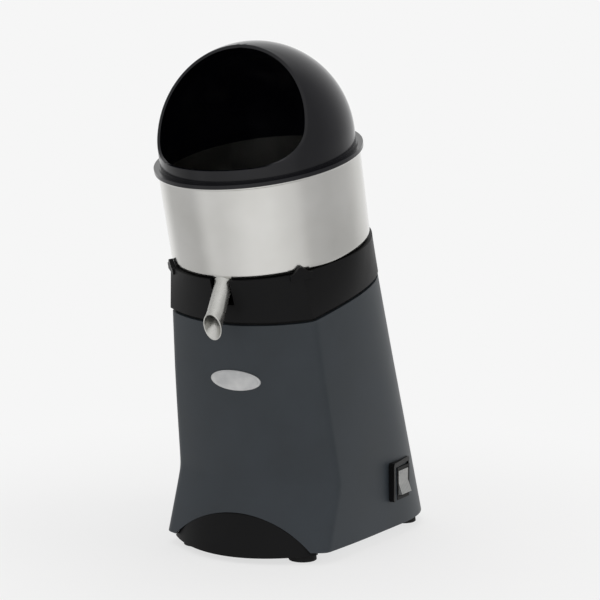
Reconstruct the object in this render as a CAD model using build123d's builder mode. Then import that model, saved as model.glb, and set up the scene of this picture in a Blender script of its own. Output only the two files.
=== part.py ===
"""Motor-driven citrus juicer: painted base with a forward-leaning axis, steel bowl, domed splash guard."""
import os
from math import cos, pi, radians, sin, sqrt

from build123d import *

# ---------------------------------------------------------------- driving dimensions (mm, degrees)
# The row frame stands on the table: +Z up, -Y towards the user, +X to the user's right.
# Most pieces are turned about one press axis, which leans forward. Distances along that axis are
# counted from the bowl's rim, positive upwards, and are called "level" below.
axis_tilt = 14.86
rim_height = 381.8
rim_y = -58.4

bowl_radius = 97.0
bowl_taper = 0.4
bowl_depth = 92.3
bowl_wall = 1.0
bowl_corner = 8.0
rim_bead = 1.6
chimney_radius = 15.5
chimney_rise = 28.3
chimney_wall = 1.0

guard_inset = 3.0
guard_centre = 15.5
guard_wall = 2.6
guard_step = 1.6
guard_step_top = 4.2
flange_overhang = 3.5
flange_thickness = 2.6
spigot_depth = 8.0
spigot_wall = 2.4
mouth_sill = 14.6
mouth_slope = 62.0
mouth_foot = 54.0
mouth_corner = 50.0

spout_radius = 8.0
spout_wall = 1.0
spout_lean = 28.0
spout_setback = 13.0
spout_drop = 62.1
spout_lip = 9.6
spout_lip_length = 7.0
spout_cut = 17.5
weld_radius = 9.4
weld_length = 3.4

collar_cover = 2.3
collar_foot = -133.6
collar_wall = 9.0
collar_deck = 4.0
collar_overhang = 0.8
slot_width = 21.0
slot_depth = 28.0
slot_drop = 25.5
slot_wall = 3.0
ear_height = 6.5
ear_width = 22.0
ear_angle = 46.0

body_top = -137.2
body_foot = 11.2
body_wall = 4.0
body_deck = 6.0
corner_inset = 6.8
top_corner_inset = 18.0
top_corner_setback = 27.0
front_bulge = 22.8
top_front_setback = 4.0
foot_corner_y = -85.8
waist_height = 72.0
waist_corner_y = -62.4
waist_softness = 1.4
side_step = 1.6
top_side_inset = 6.0
widest_y = 34.0
top_widest = 8.0
rear_y = 156.0
top_rear_step = 1.0
foot_squareness = 3.4
corner_share = 0.7
flank_drop = 0.35
top_squareness = 2.45
upper_bow = 1.5

arch_half_width = 76.0
arch_height = 30.4
plinth_foot = 5.0
plinth_reach = 121.2
plinth_corner_y = -87.2
plinth_shell = 3.4
plinth_gap = 0.4

plate_thickness = 3.0
plate_lift = 0.5
foot_radius = 13.6
foot_top_radius = 12.4
front_foot_x = 59.4
front_foot_y = -77.8
rear_foot_x = 73.4
rear_foot_y = 107.0
post_radius = 8.0
post_height = 24.0

badge_width = 55.0
badge_height = 20.0
badge_thickness = 1.2
badge_z = 171.6

rocker_y = 57.2
rocker_z = 53.5
rocker_width = 20.8
rocker_height = 26.0
hood_front_y = 28.0
hood_rear_y = 73.0
hood_foot_z = 38.0
hood_top_z = 77.0
hood_proud = 4.6
hood_wall = 4.6
hood_rear_wall = 2.5

inlet_z = 44.0
inlet_width = 48.0
inlet_height = 27.0
inlet_flange = 2.4
inlet_depth = 26.0
socket_width = 24.0
socket_height = 16.0

stator_radius = 50.0
stator_length = 55.0
air_gap = 0.5
rotor_radius = 26.5
shaft_radius = 6.0
bearing_radius = 16.0
bearing_width = 10.0
end_bell_wall = 6.8
end_bell_length = 25.0
fan_radius = 40.0
fan_thickness = 12.0

hub_radius = 10.0
hub_flat = 8.5
hub_rise = 12.0
hub_length = 22.0
pin_radius = 1.6

strainer_inset = 2.8
strainer_depth = 22.4
strainer_skirt = 5.5
strainer_lift = 9.9
strainer_throat = 20.4
strainer_throat_height = 12.4
strainer_sheet = 1.0
slot_rows = (36.0, 52.0, 68.0, 82.0)

squeezer_base_radius = 34.0
squeezer_clear = 4.0
squeezer_base_thickness = 3.0
squeezer_height = 54.0
squeezer_cone_radius = 28.0
squeezer_ribs = 8
rib_proud = 4.0
rib_width = 3.0

collar_lip = 1.5
corner_proud = 1.5
collar_rim = 3.5
collar_post_radius = 6.0
collar_screw_x = 55.0
collar_screw_y = 50.0
collar_screw_length = 20.0
ear_root = 6.0
ear_inset = 1.5
ear_proud = 2.5
ear_shoulder = 0.42
gasket_inset = 3.5
gasket_width = 6.0
throat_gap = 1.0
screw_end_gap = 1.0
throat_rise = 20.3
seal_radius = 11.0
seal_width = 7.0

plinth_recess = 2.5
plinth_tuck = 4.0
plinth_rear_step = 14.0
plinth_flange = 3.0
plinth_flange_y = -88.0
plinth_screw_x = 30.0
plinth_screw_y = -94.0
plate_edge_gap = 1.6
plate_front = -103.4
plate_front_corner = -77.9
vent_length = 60.0
vent_width = 5.0
vent_pitch = 14.0
post_cap = 4.0
post_rib_length = 36.0
post_rib_width = 4.0
foot_edge = 0.8
foot_well = 6.0

screw_radius = 2.5
screw_head_radius = 4.6
screw_head = 2.8
small_screw_radius = 1.5
small_head_radius = 2.7
small_head = 1.6

switch_proud = 0.3
switch_depth = 24.0
switch_width = 24.0
switch_height = 31.0
switch_lip = 1.0
hood_corner = 3.0
rocker_face = 3.0
rocker_back = 3.0
rocker_swing_room = 3.0
rocker_pivot_inset = 3.2
rocker_pin_radius = 1.5
rocker_pin_reach = 1.0
rocker_throw = 20.0
blade_thickness = 0.8
blade_width = 6.3
blade_length = 8.0
blade_pitch = 10.0

inlet_pocket = 1.5
inlet_corner = 3.0
inlet_body_width = 28.0
inlet_body_height = 21.0
inlet_screw_x = 20.0
inlet_screw_length = 10.0
socket_depth = 16.0
pin_spread = 7.0
pin_stagger = 2.0
pin_length = 13.0
pin_thickness = 2.0
pin_width = 4.0

bell_plate = 6.0
pilot_radius = 30.0
pilot_height = 3.0
bearing_shell = 4.0
bearing_groove = 0.8
bell_vent_radius = 6.0
motor_screw_circle = 38.0
tie_bolt_circle = 46.6
tie_bolt_radius = 1.8
tie_head_radius = 3.2
tie_head = 3.2
winding_slots = 12
winding_circle = 36.0
winding_depth = 12.0
winding_width = 6.0
winding_overhang = 12.0
end_ring = 8.0
end_ring_radius = 16.0
fan_clear = 3.0
fan_disc = 2.0
fan_hub_radius = 14.0
fan_blades = 9
fan_sweep = 20.0
shaft_tail = 4.0
slinger_rise = 2.0
slinger_thickness = 2.0
slinger_radius = 12.5
hub_cap = 4.0
hub_chamfer = 1.0
pin_rise = 10.0

capacitor_x = -38.0
capacitor_y = 8.0
capacitor_radius = 17.5
capacitor_length = 70.0
clamp_thickness = 1.2
clamp_width = 14.0
clamp_tab = 12.0
terminal_x = 26.0
terminal_y = 60.0
terminal_length = 42.0
terminal_depth = 22.0
terminal_height = 18.0
terminal_pitch = 9.0
terminal_ways = 4

spout_root = 48.3
strainer_rise = 4.0
strainer_bead = 1.2
slots_per_row = 24
slot_length = 10.0
slot_gap = 2.0
skirt_radius = 17.0
skirt_wall = 2.0
skirt_length = 10.0
cone_fullness = 0.68
spigot_clear = 0.6
journal_gap = 0.05
press_gap = 0.02
running_gap = 0.3
screw_gap = 0.1

# ---------------------------------------------------------------- sizes that follow from the bowl
flange_radius = bowl_radius + flange_overhang
guard_radius = bowl_radius - guard_inset
strainer_radius = bowl_radius - strainer_inset
ring_radius = bowl_radius + collar_lip
corner_reach = ring_radius + corner_proud
ear_inner_radius = ring_radius - ear_inset
ear_outer_radius = ring_radius + ear_proud
side_half_width = bowl_radius + side_step
switch_face = side_half_width + switch_proud
corner_half_width = bowl_radius - corner_inset
top_corner_half_width = bowl_radius - top_corner_inset
top_corner_reach = bowl_radius - top_corner_setback
top_front_reach = bowl_radius - top_front_setback
top_side_half_width = bowl_radius - top_side_inset
top_rear_reach = bowl_radius + top_rear_step

chimney_top = chimney_rise - bowl_depth
collar_top = collar_cover - bowl_depth
throat_top = throat_rise - bowl_depth
slinger_foot = throat_top + slinger_rise
hub_foot = throat_top + hub_rise
hub_top = hub_foot + hub_length
pin_level = hub_foot + pin_rise
strainer_floor = strainer_lift - bowl_depth
strainer_top = strainer_floor + strainer_depth
strainer_foot = strainer_floor - strainer_skirt
strainer_throat_top = strainer_floor + strainer_throat_height
squeezer_base_level = strainer_throat_top + squeezer_clear
squeezer_tip = squeezer_base_level + squeezer_height
spout_mouth_y = rim_y - bowl_radius + spout_setback
spout_mouth_z = rim_height - bowl_depth - spout_drop

# ---------------------------------------------------------------- reference planes
tilt_sin, tilt_cos = sin(radians(axis_tilt)), cos(radians(axis_tilt))
press = Plane(origin=(0, rim_y, rim_height), x_dir=(1, 0, 0), z_dir=(0, -tilt_sin, tilt_cos))
turning = Plane(origin=press.origin, x_dir=(1, 0, 0), z_dir=(0, -tilt_cos, -tilt_sin))
side_view = Plane(origin=press.origin, x_dir=press.y_dir, z_dir=(1, 0, 0))
press_axis = Axis(press.origin, press.z_dir)


def level(distance):
    """The plane square to the press axis at a distance above the bowl's rim."""
    return press.offset(distance)


def band(inner, outer, low, high):
    """One rectangle of a turned profile, between two radii and two levels."""
    with Locations(((inner + outer) / 2, (low + high) / 2)):
        Rectangle(outer - inner, high - low)


def crossing(low, high, plane):
    """Where the straight line through two points meets a plane, in that plane's own coordinates."""
    start, end = Vector(*low), Vector(*high)
    share = (plane.origin - start).dot(plane.z_dir) / (end - start).dot(plane.z_dir)
    point = plane.to_local_coords(start + (end - start) * share)
    return point.X, point.Y


def soft_min(first, second, softness):
    """The smaller of two values, with the change-over rounded."""
    return (first + second) / 2 - sqrt(((first - second) / 2) ** 2 + softness**2)


def d_outline(corner, front, widest, rear, squareness, inset=0.0):
    """Draws a closed D: a bowed front between two corners, then one curve round the sides and rear."""
    corner_x, corner_y = corner[0] - inset, corner[1] + inset * corner_share
    half_width, widest_at = widest[0] - inset, widest[1]
    rear_at = rear - inset
    power = 2 / squareness
    bend = [
        (half_width * cos(turn) ** power, widest_at + (rear_at - widest_at) * sin(turn) ** power)
        for turn in (radians(30), radians(60))
    ]
    flank = (half_width - (half_width - corner_x) * flank_drop, (corner_y + widest_at) / 2)
    right = [(corner_x, corner_y), flank, (half_width, widest_at)] + bend
    left = [(-x, y) for x, y in reversed(right)]
    ThreePointArc((-corner_x, corner_y), (0, front + inset), (corner_x, corner_y))
    Spline(*right, (0, rear_at), *left)


def world(x, across, height):
    """A point given on the press axis's own coordinates, in the row frame."""
    return tuple(press.from_local_coords(Vector(x, across, height)))


def world_direction(x, across):
    """A direction square to the press axis, from its two parts."""
    return press.x_dir * x + press.y_dir * across


# ---------------------------------------------------------------- guide lines of the housing
foot_corner = (corner_half_width, foot_corner_y, body_foot)
waist_corner = (corner_half_width, waist_corner_y, waist_height)
top_corner = world(top_corner_half_width, -top_corner_reach, body_top)
foot_front = (0, foot_corner_y - front_bulge, body_foot)
waist_front = (0, waist_corner_y - front_bulge, waist_height)
top_front = world(0, -top_front_reach, body_top)
foot_side = (side_half_width, widest_y, body_foot)
top_side = world(top_side_half_width, top_widest, body_top)
foot_rear = (0, rear_y, body_foot)
top_rear = world(0, top_rear_reach, body_top)


def bow_share(height):
    """How much of the upper corners' outward bow applies at a height: none at the waist and the top."""
    share = (height - waist_height) / (press.origin.Z + body_top - waist_height)
    return sin(pi * min(max(share, 0), 1))


def housing_outline(plane, inset=0.0):
    """The housing's outline on any plane that cuts right through it."""
    low_corner = crossing(foot_corner, waist_corner, plane)
    high_corner = crossing(waist_corner, top_corner, plane)
    low_front = crossing(foot_front, waist_front, plane)
    high_front = crossing(waist_front, top_front, plane)
    corner = (
        min(low_corner[0], high_corner[0]),
        soft_min(low_corner[1], high_corner[1], waist_softness) - upper_bow * bow_share(plane.origin.Z),
    )
    front = soft_min(low_front[1], high_front[1], waist_softness)
    rise = (plane.origin.Z - body_foot) / (press.origin.Z + body_top - body_foot)
    squareness = foot_squareness + (top_squareness - foot_squareness) * rise
    rear = crossing(foot_rear, top_rear, plane)[1]
    d_outline(corner, front, crossing(foot_side, top_side, plane), rear, squareness, inset)


section_steps = (-18, -9, 0, 9, 18, 45, 75, 105)
section_planes = (
    [Plane.XY.offset(body_foot)]
    + [Plane.XY.offset(waist_height + step) for step in section_steps]
    + [level(body_top)]
)

# ---------------------------------------------------------------- housing shell
with BuildPart() as housing_outer:
    for section in section_planes:
        with BuildSketch(section):
            with BuildLine():
                housing_outline(section)
            make_face()
    loft(ruled=True)

with BuildPart() as housing_inner:
    for section in section_planes[:-1] + [level(body_top - body_deck)]:
        with BuildSketch(section):
            with BuildLine():
                housing_outline(section, body_wall)
            make_face()
    loft(ruled=True)



# ---------------------------------------------------------------- plinth form, shared by the cuts
arch_top = body_foot + arch_height
plinth_top = arch_top + plinth_tuck
front_radius = (corner_half_width**2 + front_bulge**2) / (2 * front_bulge)
arch_end_drop = front_radius - sqrt(front_radius**2 - arch_half_width**2)
plinth_top_reach = crossing(foot_front, waist_front, Plane.XY.offset(plinth_top))[1] + plinth_recess

with BuildPart() as plinth_form:
    with BuildSketch(Plane.XY.offset(plinth_foot)):
        with BuildLine():
            ThreePointArc(
                (-arch_half_width, plinth_corner_y), (0, -plinth_reach), (arch_half_width, plinth_corner_y)
            )
            Polyline(
                (arch_half_width, plinth_corner_y),
                (arch_half_width, front_foot_y),
                (-arch_half_width, front_foot_y),
                (-arch_half_width, plinth_corner_y),
            )
        make_face()
    with BuildSketch(Plane.XY.offset(plinth_top)):
        with BuildLine():
            top_end = plinth_top_reach + arch_end_drop
            ThreePointArc((-arch_half_width, top_end), (0, plinth_top_reach), (arch_half_width, top_end))
            Polyline(
                (arch_half_width, top_end),
                (arch_half_width, front_foot_y + plinth_rear_step),
                (-arch_half_width, front_foot_y + plinth_rear_step),
                (-arch_half_width, top_end),
            )
        make_face()
    loft(ruled=True)

foot_places = [
    (side * x, y)
    for x, y in ((front_foot_x, front_foot_y), (rear_foot_x, rear_foot_y))
    for side in (-1, 1)
]
plate_foot = body_foot + plate_lift
plate_top = plate_foot + plate_thickness
post_top = plate_top + post_height
collar_screw_places = [(x * collar_screw_x, y * collar_screw_y) for x in (-1, 1) for y in (-1, 1)]
motor_top = body_top - body_deck

rise_length = top_rear[2] - foot_rear[2]
rear_run = foot_rear[1] - top_rear[1]
inlet_y = foot_rear[1] - rear_run * (inlet_z - foot_rear[2]) / rise_length
rear_face = Plane(origin=(0, inlet_y, inlet_z), x_dir=(-1, 0, 0), z_dir=(0, rise_length, rear_run))
inlet_seat = rear_face.offset(-inlet_pocket)

# ---------------------------------------------------------------- housing shell
with BuildPart() as screw_posts:
    with BuildSketch(Plane.XY.offset(plate_top)):
        with Locations(*foot_places):
            Circle(post_radius)
        for x, y in foot_places:
            with Locations((x + (post_rib_length / 2 if x > 0 else -post_rib_length / 2), y)):
                Rectangle(post_rib_length, post_rib_width)
    extrude(amount=post_height)
    add(housing_outer.part, mode=Mode.INTERSECT)

with BuildPart() as housing_shell:
    add(housing_outer.part)
    add(housing_inner.part, mode=Mode.SUBTRACT)
    add(screw_posts.part)
    with BuildSketch(Plane.XZ.offset(post_radius + running_gap - front_foot_y)):
        with BuildLine():
            ThreePointArc((-arch_half_width, body_foot), (0, arch_top), (arch_half_width, body_foot))
            Polyline(
                (arch_half_width, body_foot),
                (arch_half_width, plinth_foot),
                (-arch_half_width, plinth_foot),
                (-arch_half_width, body_foot),
            )
        make_face()
    extrude(amount=plinth_reach, mode=Mode.SUBTRACT)
    with BuildSketch(Plane.XY.offset(plate_foot)):
        with Locations(*foot_places):
            Circle(screw_radius + screw_gap)
    extrude(amount=post_top - plate_foot - post_cap, mode=Mode.SUBTRACT)
    with BuildSketch(level(body_top)):
        Circle(pilot_radius + running_gap)
        with PolarLocations(motor_screw_circle, 4, start_angle=45):
            Circle(screw_radius + screw_gap)
        with Locations(*collar_screw_places):
            Circle(screw_radius + screw_gap)
    extrude(amount=-body_deck, mode=Mode.SUBTRACT)
    with BuildSketch(Plane.YZ.offset(switch_face - switch_depth)):
        with Locations((rocker_y, rocker_z)):
            Rectangle(switch_width + 2 * running_gap, switch_height + 2 * running_gap)
    extrude(amount=switch_depth, mode=Mode.SUBTRACT)
    with BuildSketch(inlet_seat):
        RectangleRounded(inlet_width + 2 * running_gap, inlet_height + 2 * running_gap, inlet_corner)
    extrude(amount=inlet_flange, mode=Mode.SUBTRACT)
    with BuildSketch(inlet_seat):
        Rectangle(inlet_body_width + 2 * running_gap, inlet_body_height + 2 * running_gap)
        with Locations((-inlet_screw_x, 0), (inlet_screw_x, 0)):
            Circle(small_screw_radius + screw_gap)
    extrude(amount=-inlet_depth, mode=Mode.SUBTRACT)

# ---------------------------------------------------------------- plinth, base plate, feet
with BuildPart() as plinth_arch:
    with BuildSketch(Plane.XZ.offset(-front_foot_y - plinth_rear_step)):
        half, crown = arch_half_width - plinth_gap, arch_top - plinth_gap
        with BuildLine():
            ThreePointArc((-half, body_foot), (0, crown), (half, body_foot))
            Polyline((half, body_foot), (half, plinth_foot), (-half, plinth_foot), (-half, body_foot))
        make_face()
    extrude(amount=plinth_reach)

plinth_screw_places = [(-plinth_screw_x, plinth_screw_y), (plinth_screw_x, plinth_screw_y)]
with BuildPart() as plinth_flange_form:
    with BuildSketch(Plane.XY.offset(plate_top)):
        with Locations((0, plinth_flange_y - plinth_reach / 2)):
            Rectangle(2 * arch_half_width, plinth_reach)
        with Locations(*plinth_screw_places):
            Circle(small_screw_radius + screw_gap, mode=Mode.SUBTRACT)
    extrude(amount=plinth_flange)
    add(plinth_form.part, mode=Mode.INTERSECT)

with BuildPart() as front_plinth:
    add(plinth_form.part)
    with Locations((0, plinth_shell, 0)):
        add(plinth_form.part, mode=Mode.SUBTRACT)
    add(plinth_flange_form.part)
    add(plinth_arch.part, mode=Mode.INTERSECT)

with BuildPart() as base_plate:
    with BuildSketch(Plane.XY.offset(plate_foot)):
        with BuildLine():
            housing_outline(Plane.XY.offset(body_foot), body_wall + plate_edge_gap)
        make_face()
        with BuildLine():
            ThreePointArc(
                (-arch_half_width, plate_front_corner),
                (0, plate_front),
                (arch_half_width, plate_front_corner),
            )
            Polyline(
                (arch_half_width, plate_front_corner),
                (2 * arch_half_width, plate_front_corner),
                (2 * arch_half_width, rear_y),
                (-2 * arch_half_width, rear_y),
                (-2 * arch_half_width, plate_front_corner),
                (-arch_half_width, plate_front_corner),
            )
        make_face(mode=Mode.INTERSECT)
        with Locations(*foot_places):
            Circle(screw_radius + screw_gap, mode=Mode.SUBTRACT)
        with Locations(*plinth_screw_places):
            Circle(small_screw_radius + screw_gap, mode=Mode.SUBTRACT)
        with GridLocations(0, vent_pitch, 1, 3):
            SlotOverall(vent_length, vent_width, mode=Mode.SUBTRACT)
    extrude(amount=plate_thickness)

with BuildPart() as rubber_feet:
    with Locations(*[(x, y, plate_foot / 2) for x, y in foot_places]):
        Cone(foot_radius, foot_top_radius, plate_foot)
    fillet(rubber_feet.edges().group_by(Axis.Z)[0], foot_edge)
    with BuildSketch(Plane.XY):
        with Locations(*foot_places):
            Circle(screw_head_radius + running_gap)
    extrude(amount=foot_well, mode=Mode.SUBTRACT)
    with BuildSketch(Plane.XY):
        with Locations(*foot_places):
            Circle(screw_radius + screw_gap)
    extrude(amount=plate_foot, mode=Mode.SUBTRACT)

with BuildPart() as foot_screws:
    with BuildSketch(Plane.XY.offset(foot_well - screw_head)):
        with Locations(*foot_places):
            Circle(screw_head_radius)
    extrude(amount=screw_head)
    with BuildSketch(Plane.XY.offset(foot_well)):
        with Locations(*foot_places):
            Circle(screw_radius)
    extrude(amount=post_top - post_cap - foot_well - screw_end_gap)

with BuildPart() as plinth_screws:
    with BuildSketch(Plane.XY.offset(plate_foot)):
        with Locations(*plinth_screw_places):
            Circle(small_head_radius)
    extrude(amount=-small_head)
    with BuildSketch(Plane.XY.offset(plate_foot)):
        with Locations(*plinth_screw_places):
            Circle(small_screw_radius)
    extrude(amount=plate_thickness + plinth_flange)

# ---------------------------------------------------------------- badge and switch
with BuildPart() as badge_plate:
    with BuildSketch(Plane.XZ.offset(-front_foot_y)):
        with Locations((0, badge_z)):
            Ellipse(badge_width / 2, badge_height / 2)
    extrude(amount=plinth_reach)
    add(Pos(0, -badge_thickness, 0) * housing_outer.part, mode=Mode.INTERSECT)
    add(housing_outer.part, mode=Mode.SUBTRACT)

hood_middle_y, hood_middle_z = (hood_front_y + hood_rear_y) / 2, (hood_foot_z + hood_top_z) / 2
hood_width, hood_height = hood_rear_y - hood_front_y, hood_top_z - hood_foot_z
with BuildPart() as switch_hood:
    with BuildSketch(Plane.YZ.offset(side_half_width - switch_depth)):
        with Locations((hood_middle_y, hood_middle_z)):
            RectangleRounded(hood_width, hood_height, hood_corner)
        with Locations((hood_middle_y + (hood_wall - hood_rear_wall) / 2, hood_middle_z - hood_wall)):
            Rectangle(hood_width - hood_wall - hood_rear_wall, hood_height, mode=Mode.SUBTRACT)
    extrude(amount=switch_depth + hood_proud)
    add(housing_outer.part, mode=Mode.SUBTRACT)

rocker_end = rocker_height / 2
pivot_x = switch_face - rocker_pivot_inset
switch_back = Plane.YZ.offset(switch_face - switch_depth)
with BuildPart() as switch_body:
    with BuildSketch(Plane.YZ.offset(pivot_x - rocker_pivot_inset)):
        with Locations((rocker_y, rocker_z)):
            Rectangle(switch_width + 2 * switch_lip, switch_height + 2 * switch_lip)
    extrude(amount=2 * rocker_pivot_inset)
    add(housing_outer.part, mode=Mode.SUBTRACT)
    with BuildSketch(switch_back):
        with Locations((rocker_y, rocker_z)):
            Rectangle(switch_width, switch_height)
    extrude(amount=switch_depth)
    with BuildSketch(Plane.YZ.offset(pivot_x - rocker_back - rocker_swing_room)):
        with Locations((rocker_y, rocker_z)):
            Rectangle(rocker_width + 2 * running_gap, 2 * (rocker_end + running_gap))
    extrude(amount=switch_depth, mode=Mode.SUBTRACT)
    with BuildSketch(Plane.XZ.offset(-rocker_y)):
        with Locations((pivot_x, rocker_z)):
            Circle(rocker_pin_radius + journal_gap)
    extrude(amount=rocker_width / 2 + rocker_pin_reach + running_gap, both=True, mode=Mode.SUBTRACT)
    with BuildSketch(switch_back):
        with Locations((rocker_y, rocker_z)):
            with GridLocations(blade_pitch, blade_pitch, 2, 2):
                Rectangle(blade_thickness, blade_width)
    extrude(amount=-blade_length)

rocker_plane = Plane(
    origin=(pivot_x, rocker_y, rocker_z),
    x_dir=(cos(radians(rocker_throw / 2)), 0, sin(radians(rocker_throw / 2))),
    z_dir=(0, -1, 0),
)
with BuildPart() as switch_rocker:
    with BuildSketch(rocker_plane):
        with BuildLine():
            crest = rocker_face + rocker_end * sin(radians(rocker_throw / 2))
            Polyline(
                (rocker_face, 0),
                (crest, rocker_end),
                (-rocker_back, rocker_end),
                (-rocker_back, -rocker_end),
                (crest, -rocker_end),
                close=True,
            )
        make_face()
        Circle(rocker_end, mode=Mode.INTERSECT)
    extrude(amount=rocker_width / 2, both=True)
    with BuildSketch(rocker_plane):
        Circle(rocker_pin_radius)
    extrude(amount=rocker_width / 2 + rocker_pin_reach, both=True)

# ---------------------------------------------------------------- power inlet
with BuildPart() as power_inlet:
    with BuildSketch(inlet_seat):
        RectangleRounded(inlet_width, inlet_height, inlet_corner)
    extrude(amount=inlet_flange)
    with BuildSketch(inlet_seat):
        Rectangle(inlet_body_width, inlet_body_height)
    extrude(amount=-inlet_depth)
    with BuildSketch(inlet_seat.offset(inlet_flange)):
        Rectangle(socket_width, socket_height)
    extrude(amount=-socket_depth, mode=Mode.SUBTRACT)
    with BuildSketch(inlet_seat.offset(inlet_flange - socket_depth)):
        with Locations((-pin_spread, -pin_stagger), (0, pin_stagger), (pin_spread, -pin_stagger)):
            Rectangle(pin_thickness, pin_width)
    extrude(amount=pin_length)
    with BuildSketch(inlet_seat.offset(inlet_flange)):
        with Locations((-inlet_screw_x, 0), (inlet_screw_x, 0)):
            Circle(small_screw_radius + screw_gap)
    extrude(amount=-2 * inlet_flange, mode=Mode.SUBTRACT)

with BuildPart() as inlet_screws:
    with BuildSketch(inlet_seat.offset(inlet_flange)):
        with Locations((-inlet_screw_x, 0), (inlet_screw_x, 0)):
            Circle(small_head_radius)
    extrude(amount=small_head)
    with BuildSketch(inlet_seat.offset(inlet_flange)):
        with Locations((-inlet_screw_x, 0), (inlet_screw_x, 0)):
            Circle(small_screw_radius)
    extrude(amount=-inlet_screw_length)

# ---------------------------------------------------------------- collar and its gasket
seat_level = -bowl_depth - running_gap
deck_foot = seat_level - collar_deck
ear_sin, ear_cos = sin(radians(ear_angle)), cos(radians(ear_angle))


def ring_outline(inset=0.0):
    """The collar's round upper outline, drawn with the same curves as the D below it."""
    corner = (corner_reach * ear_sin, -corner_reach * ear_cos)
    d_outline(corner, -ring_radius, (ring_radius, 0), ring_radius, 2, inset)


with BuildPart() as collar_outer:
    with BuildSketch(level(collar_foot)):
        with BuildLine():
            housing_outline(level(collar_foot), -collar_overhang)
        make_face()
    with BuildSketch(level(collar_top)):
        with BuildLine():
            ring_outline()
        make_face()
    loft(ruled=True)

with BuildPart() as collar_inner:
    with BuildSketch(level(collar_foot)):
        with BuildLine():
            housing_outline(level(collar_foot), collar_wall - collar_overhang)
        make_face()
    with BuildSketch(level(deck_foot)):
        with BuildLine():
            ring_outline(collar_wall)
        make_face()
    loft(ruled=True)

slot_rear = slot_depth - ring_radius
slot_foot = collar_top - slot_drop
channel_foot = slot_foot - slot_wall
with BuildPart() as slot_channel:
    with BuildSketch(level(channel_foot)):
        with Locations((0, slot_rear + slot_wall - slot_depth / 2)):
            Rectangle(slot_width + 2 * slot_wall, slot_depth)
    extrude(amount=deck_foot - channel_foot)
    add(collar_outer.part, mode=Mode.INTERSECT)

with BuildPart() as collar_posts:
    with BuildSketch(level(body_top)):
        with Locations(*collar_screw_places):
            Circle(collar_post_radius)
    extrude(amount=deck_foot - body_top)

throat_radius = chimney_radius - chimney_wall - throat_gap
with BuildPart() as collar_ears:
    for side in (-1, 1):
        radial = Plane(
            origin=world(side * ear_inner_radius * ear_sin, -ear_inner_radius * ear_cos, collar_top),
            x_dir=world_direction(ear_cos, side * ear_sin),
            z_dir=world_direction(side * ear_sin, -ear_cos),
        )
        with BuildSketch(radial):
            with BuildLine():
                Spline(
                    (-ear_width / 2, 0),
                    (-ear_width * ear_shoulder / 2, ear_height / 2),
                    (0, ear_height),
                    (ear_width * ear_shoulder / 2, ear_height / 2),
                    (ear_width / 2, 0),
                    tangents=((1, 0), (1, 0)),
                )
                Polyline(
                    (ear_width / 2, 0),
                    (ear_width / 2, -ear_root),
                    (-ear_width / 2, -ear_root),
                    (-ear_width / 2, 0),
                )
            make_face()
        extrude(amount=ear_outer_radius - ear_inner_radius)

with BuildPart() as top_collar:
    add(collar_outer.part)
    add(collar_inner.part, mode=Mode.SUBTRACT)
    add(slot_channel.part)
    add(collar_posts.part)
    with BuildSketch(turning):
        band(shaft_radius + throat_gap, throat_radius, deck_foot, throat_top)
    revolve(axis=press_axis)
    with BuildSketch(level(seat_level)):
        Circle(ring_radius - collar_rim)
        Circle(throat_radius, mode=Mode.SUBTRACT)
    extrude(amount=collar_top - seat_level, mode=Mode.SUBTRACT)
    add(collar_ears.part)
    with BuildSketch(level(slot_foot)):
        with Locations((0, slot_rear - slot_depth)):
            Rectangle(slot_width, 2 * slot_depth)
    extrude(amount=ear_height + slot_drop, mode=Mode.SUBTRACT)
    with BuildSketch(level(collar_foot)):
        Circle(shaft_radius + throat_gap)
    extrude(amount=collar_top - collar_foot, mode=Mode.SUBTRACT)
    with BuildSketch(turning):
        band(0, seal_radius + journal_gap, throat_top - seal_width, throat_top)
    revolve(axis=press_axis, mode=Mode.SUBTRACT)
    with BuildSketch(level(body_top)):
        with Locations(*collar_screw_places):
            Circle(screw_radius + screw_gap)
    extrude(amount=collar_screw_length, mode=Mode.SUBTRACT)

with BuildPart() as collar_gasket:
    with BuildSketch(level(body_top)):
        with BuildLine():
            housing_outline(level(body_top), gasket_inset)
        make_face()
        with BuildLine():
            housing_outline(level(body_top), gasket_inset + gasket_width)
        make_face(mode=Mode.SUBTRACT)
    extrude(amount=collar_foot - body_top)

with BuildPart() as collar_screws:
    with BuildSketch(level(motor_top)):
        with Locations(*collar_screw_places):
            Circle(screw_head_radius)
    extrude(amount=-screw_head)
    with BuildSketch(level(motor_top)):
        with Locations(*collar_screw_places):
            Circle(screw_radius)
    extrude(amount=body_deck + collar_screw_length - screw_end_gap)

with BuildPart() as shaft_seal:
    with BuildSketch(turning):
        band(shaft_radius + journal_gap, seal_radius, throat_top - seal_width, throat_top)
    revolve(axis=press_axis)

# ---------------------------------------------------------------- motor, fixed pieces
stack_top = motor_top - end_bell_length
stack_foot = stack_top - stator_length
motor_foot = stack_foot - end_bell_length
boss_radius = bearing_radius + bearing_shell
upper_seat = motor_top - bell_plate - bearing_width
lower_seat = motor_foot + bell_plate

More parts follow.
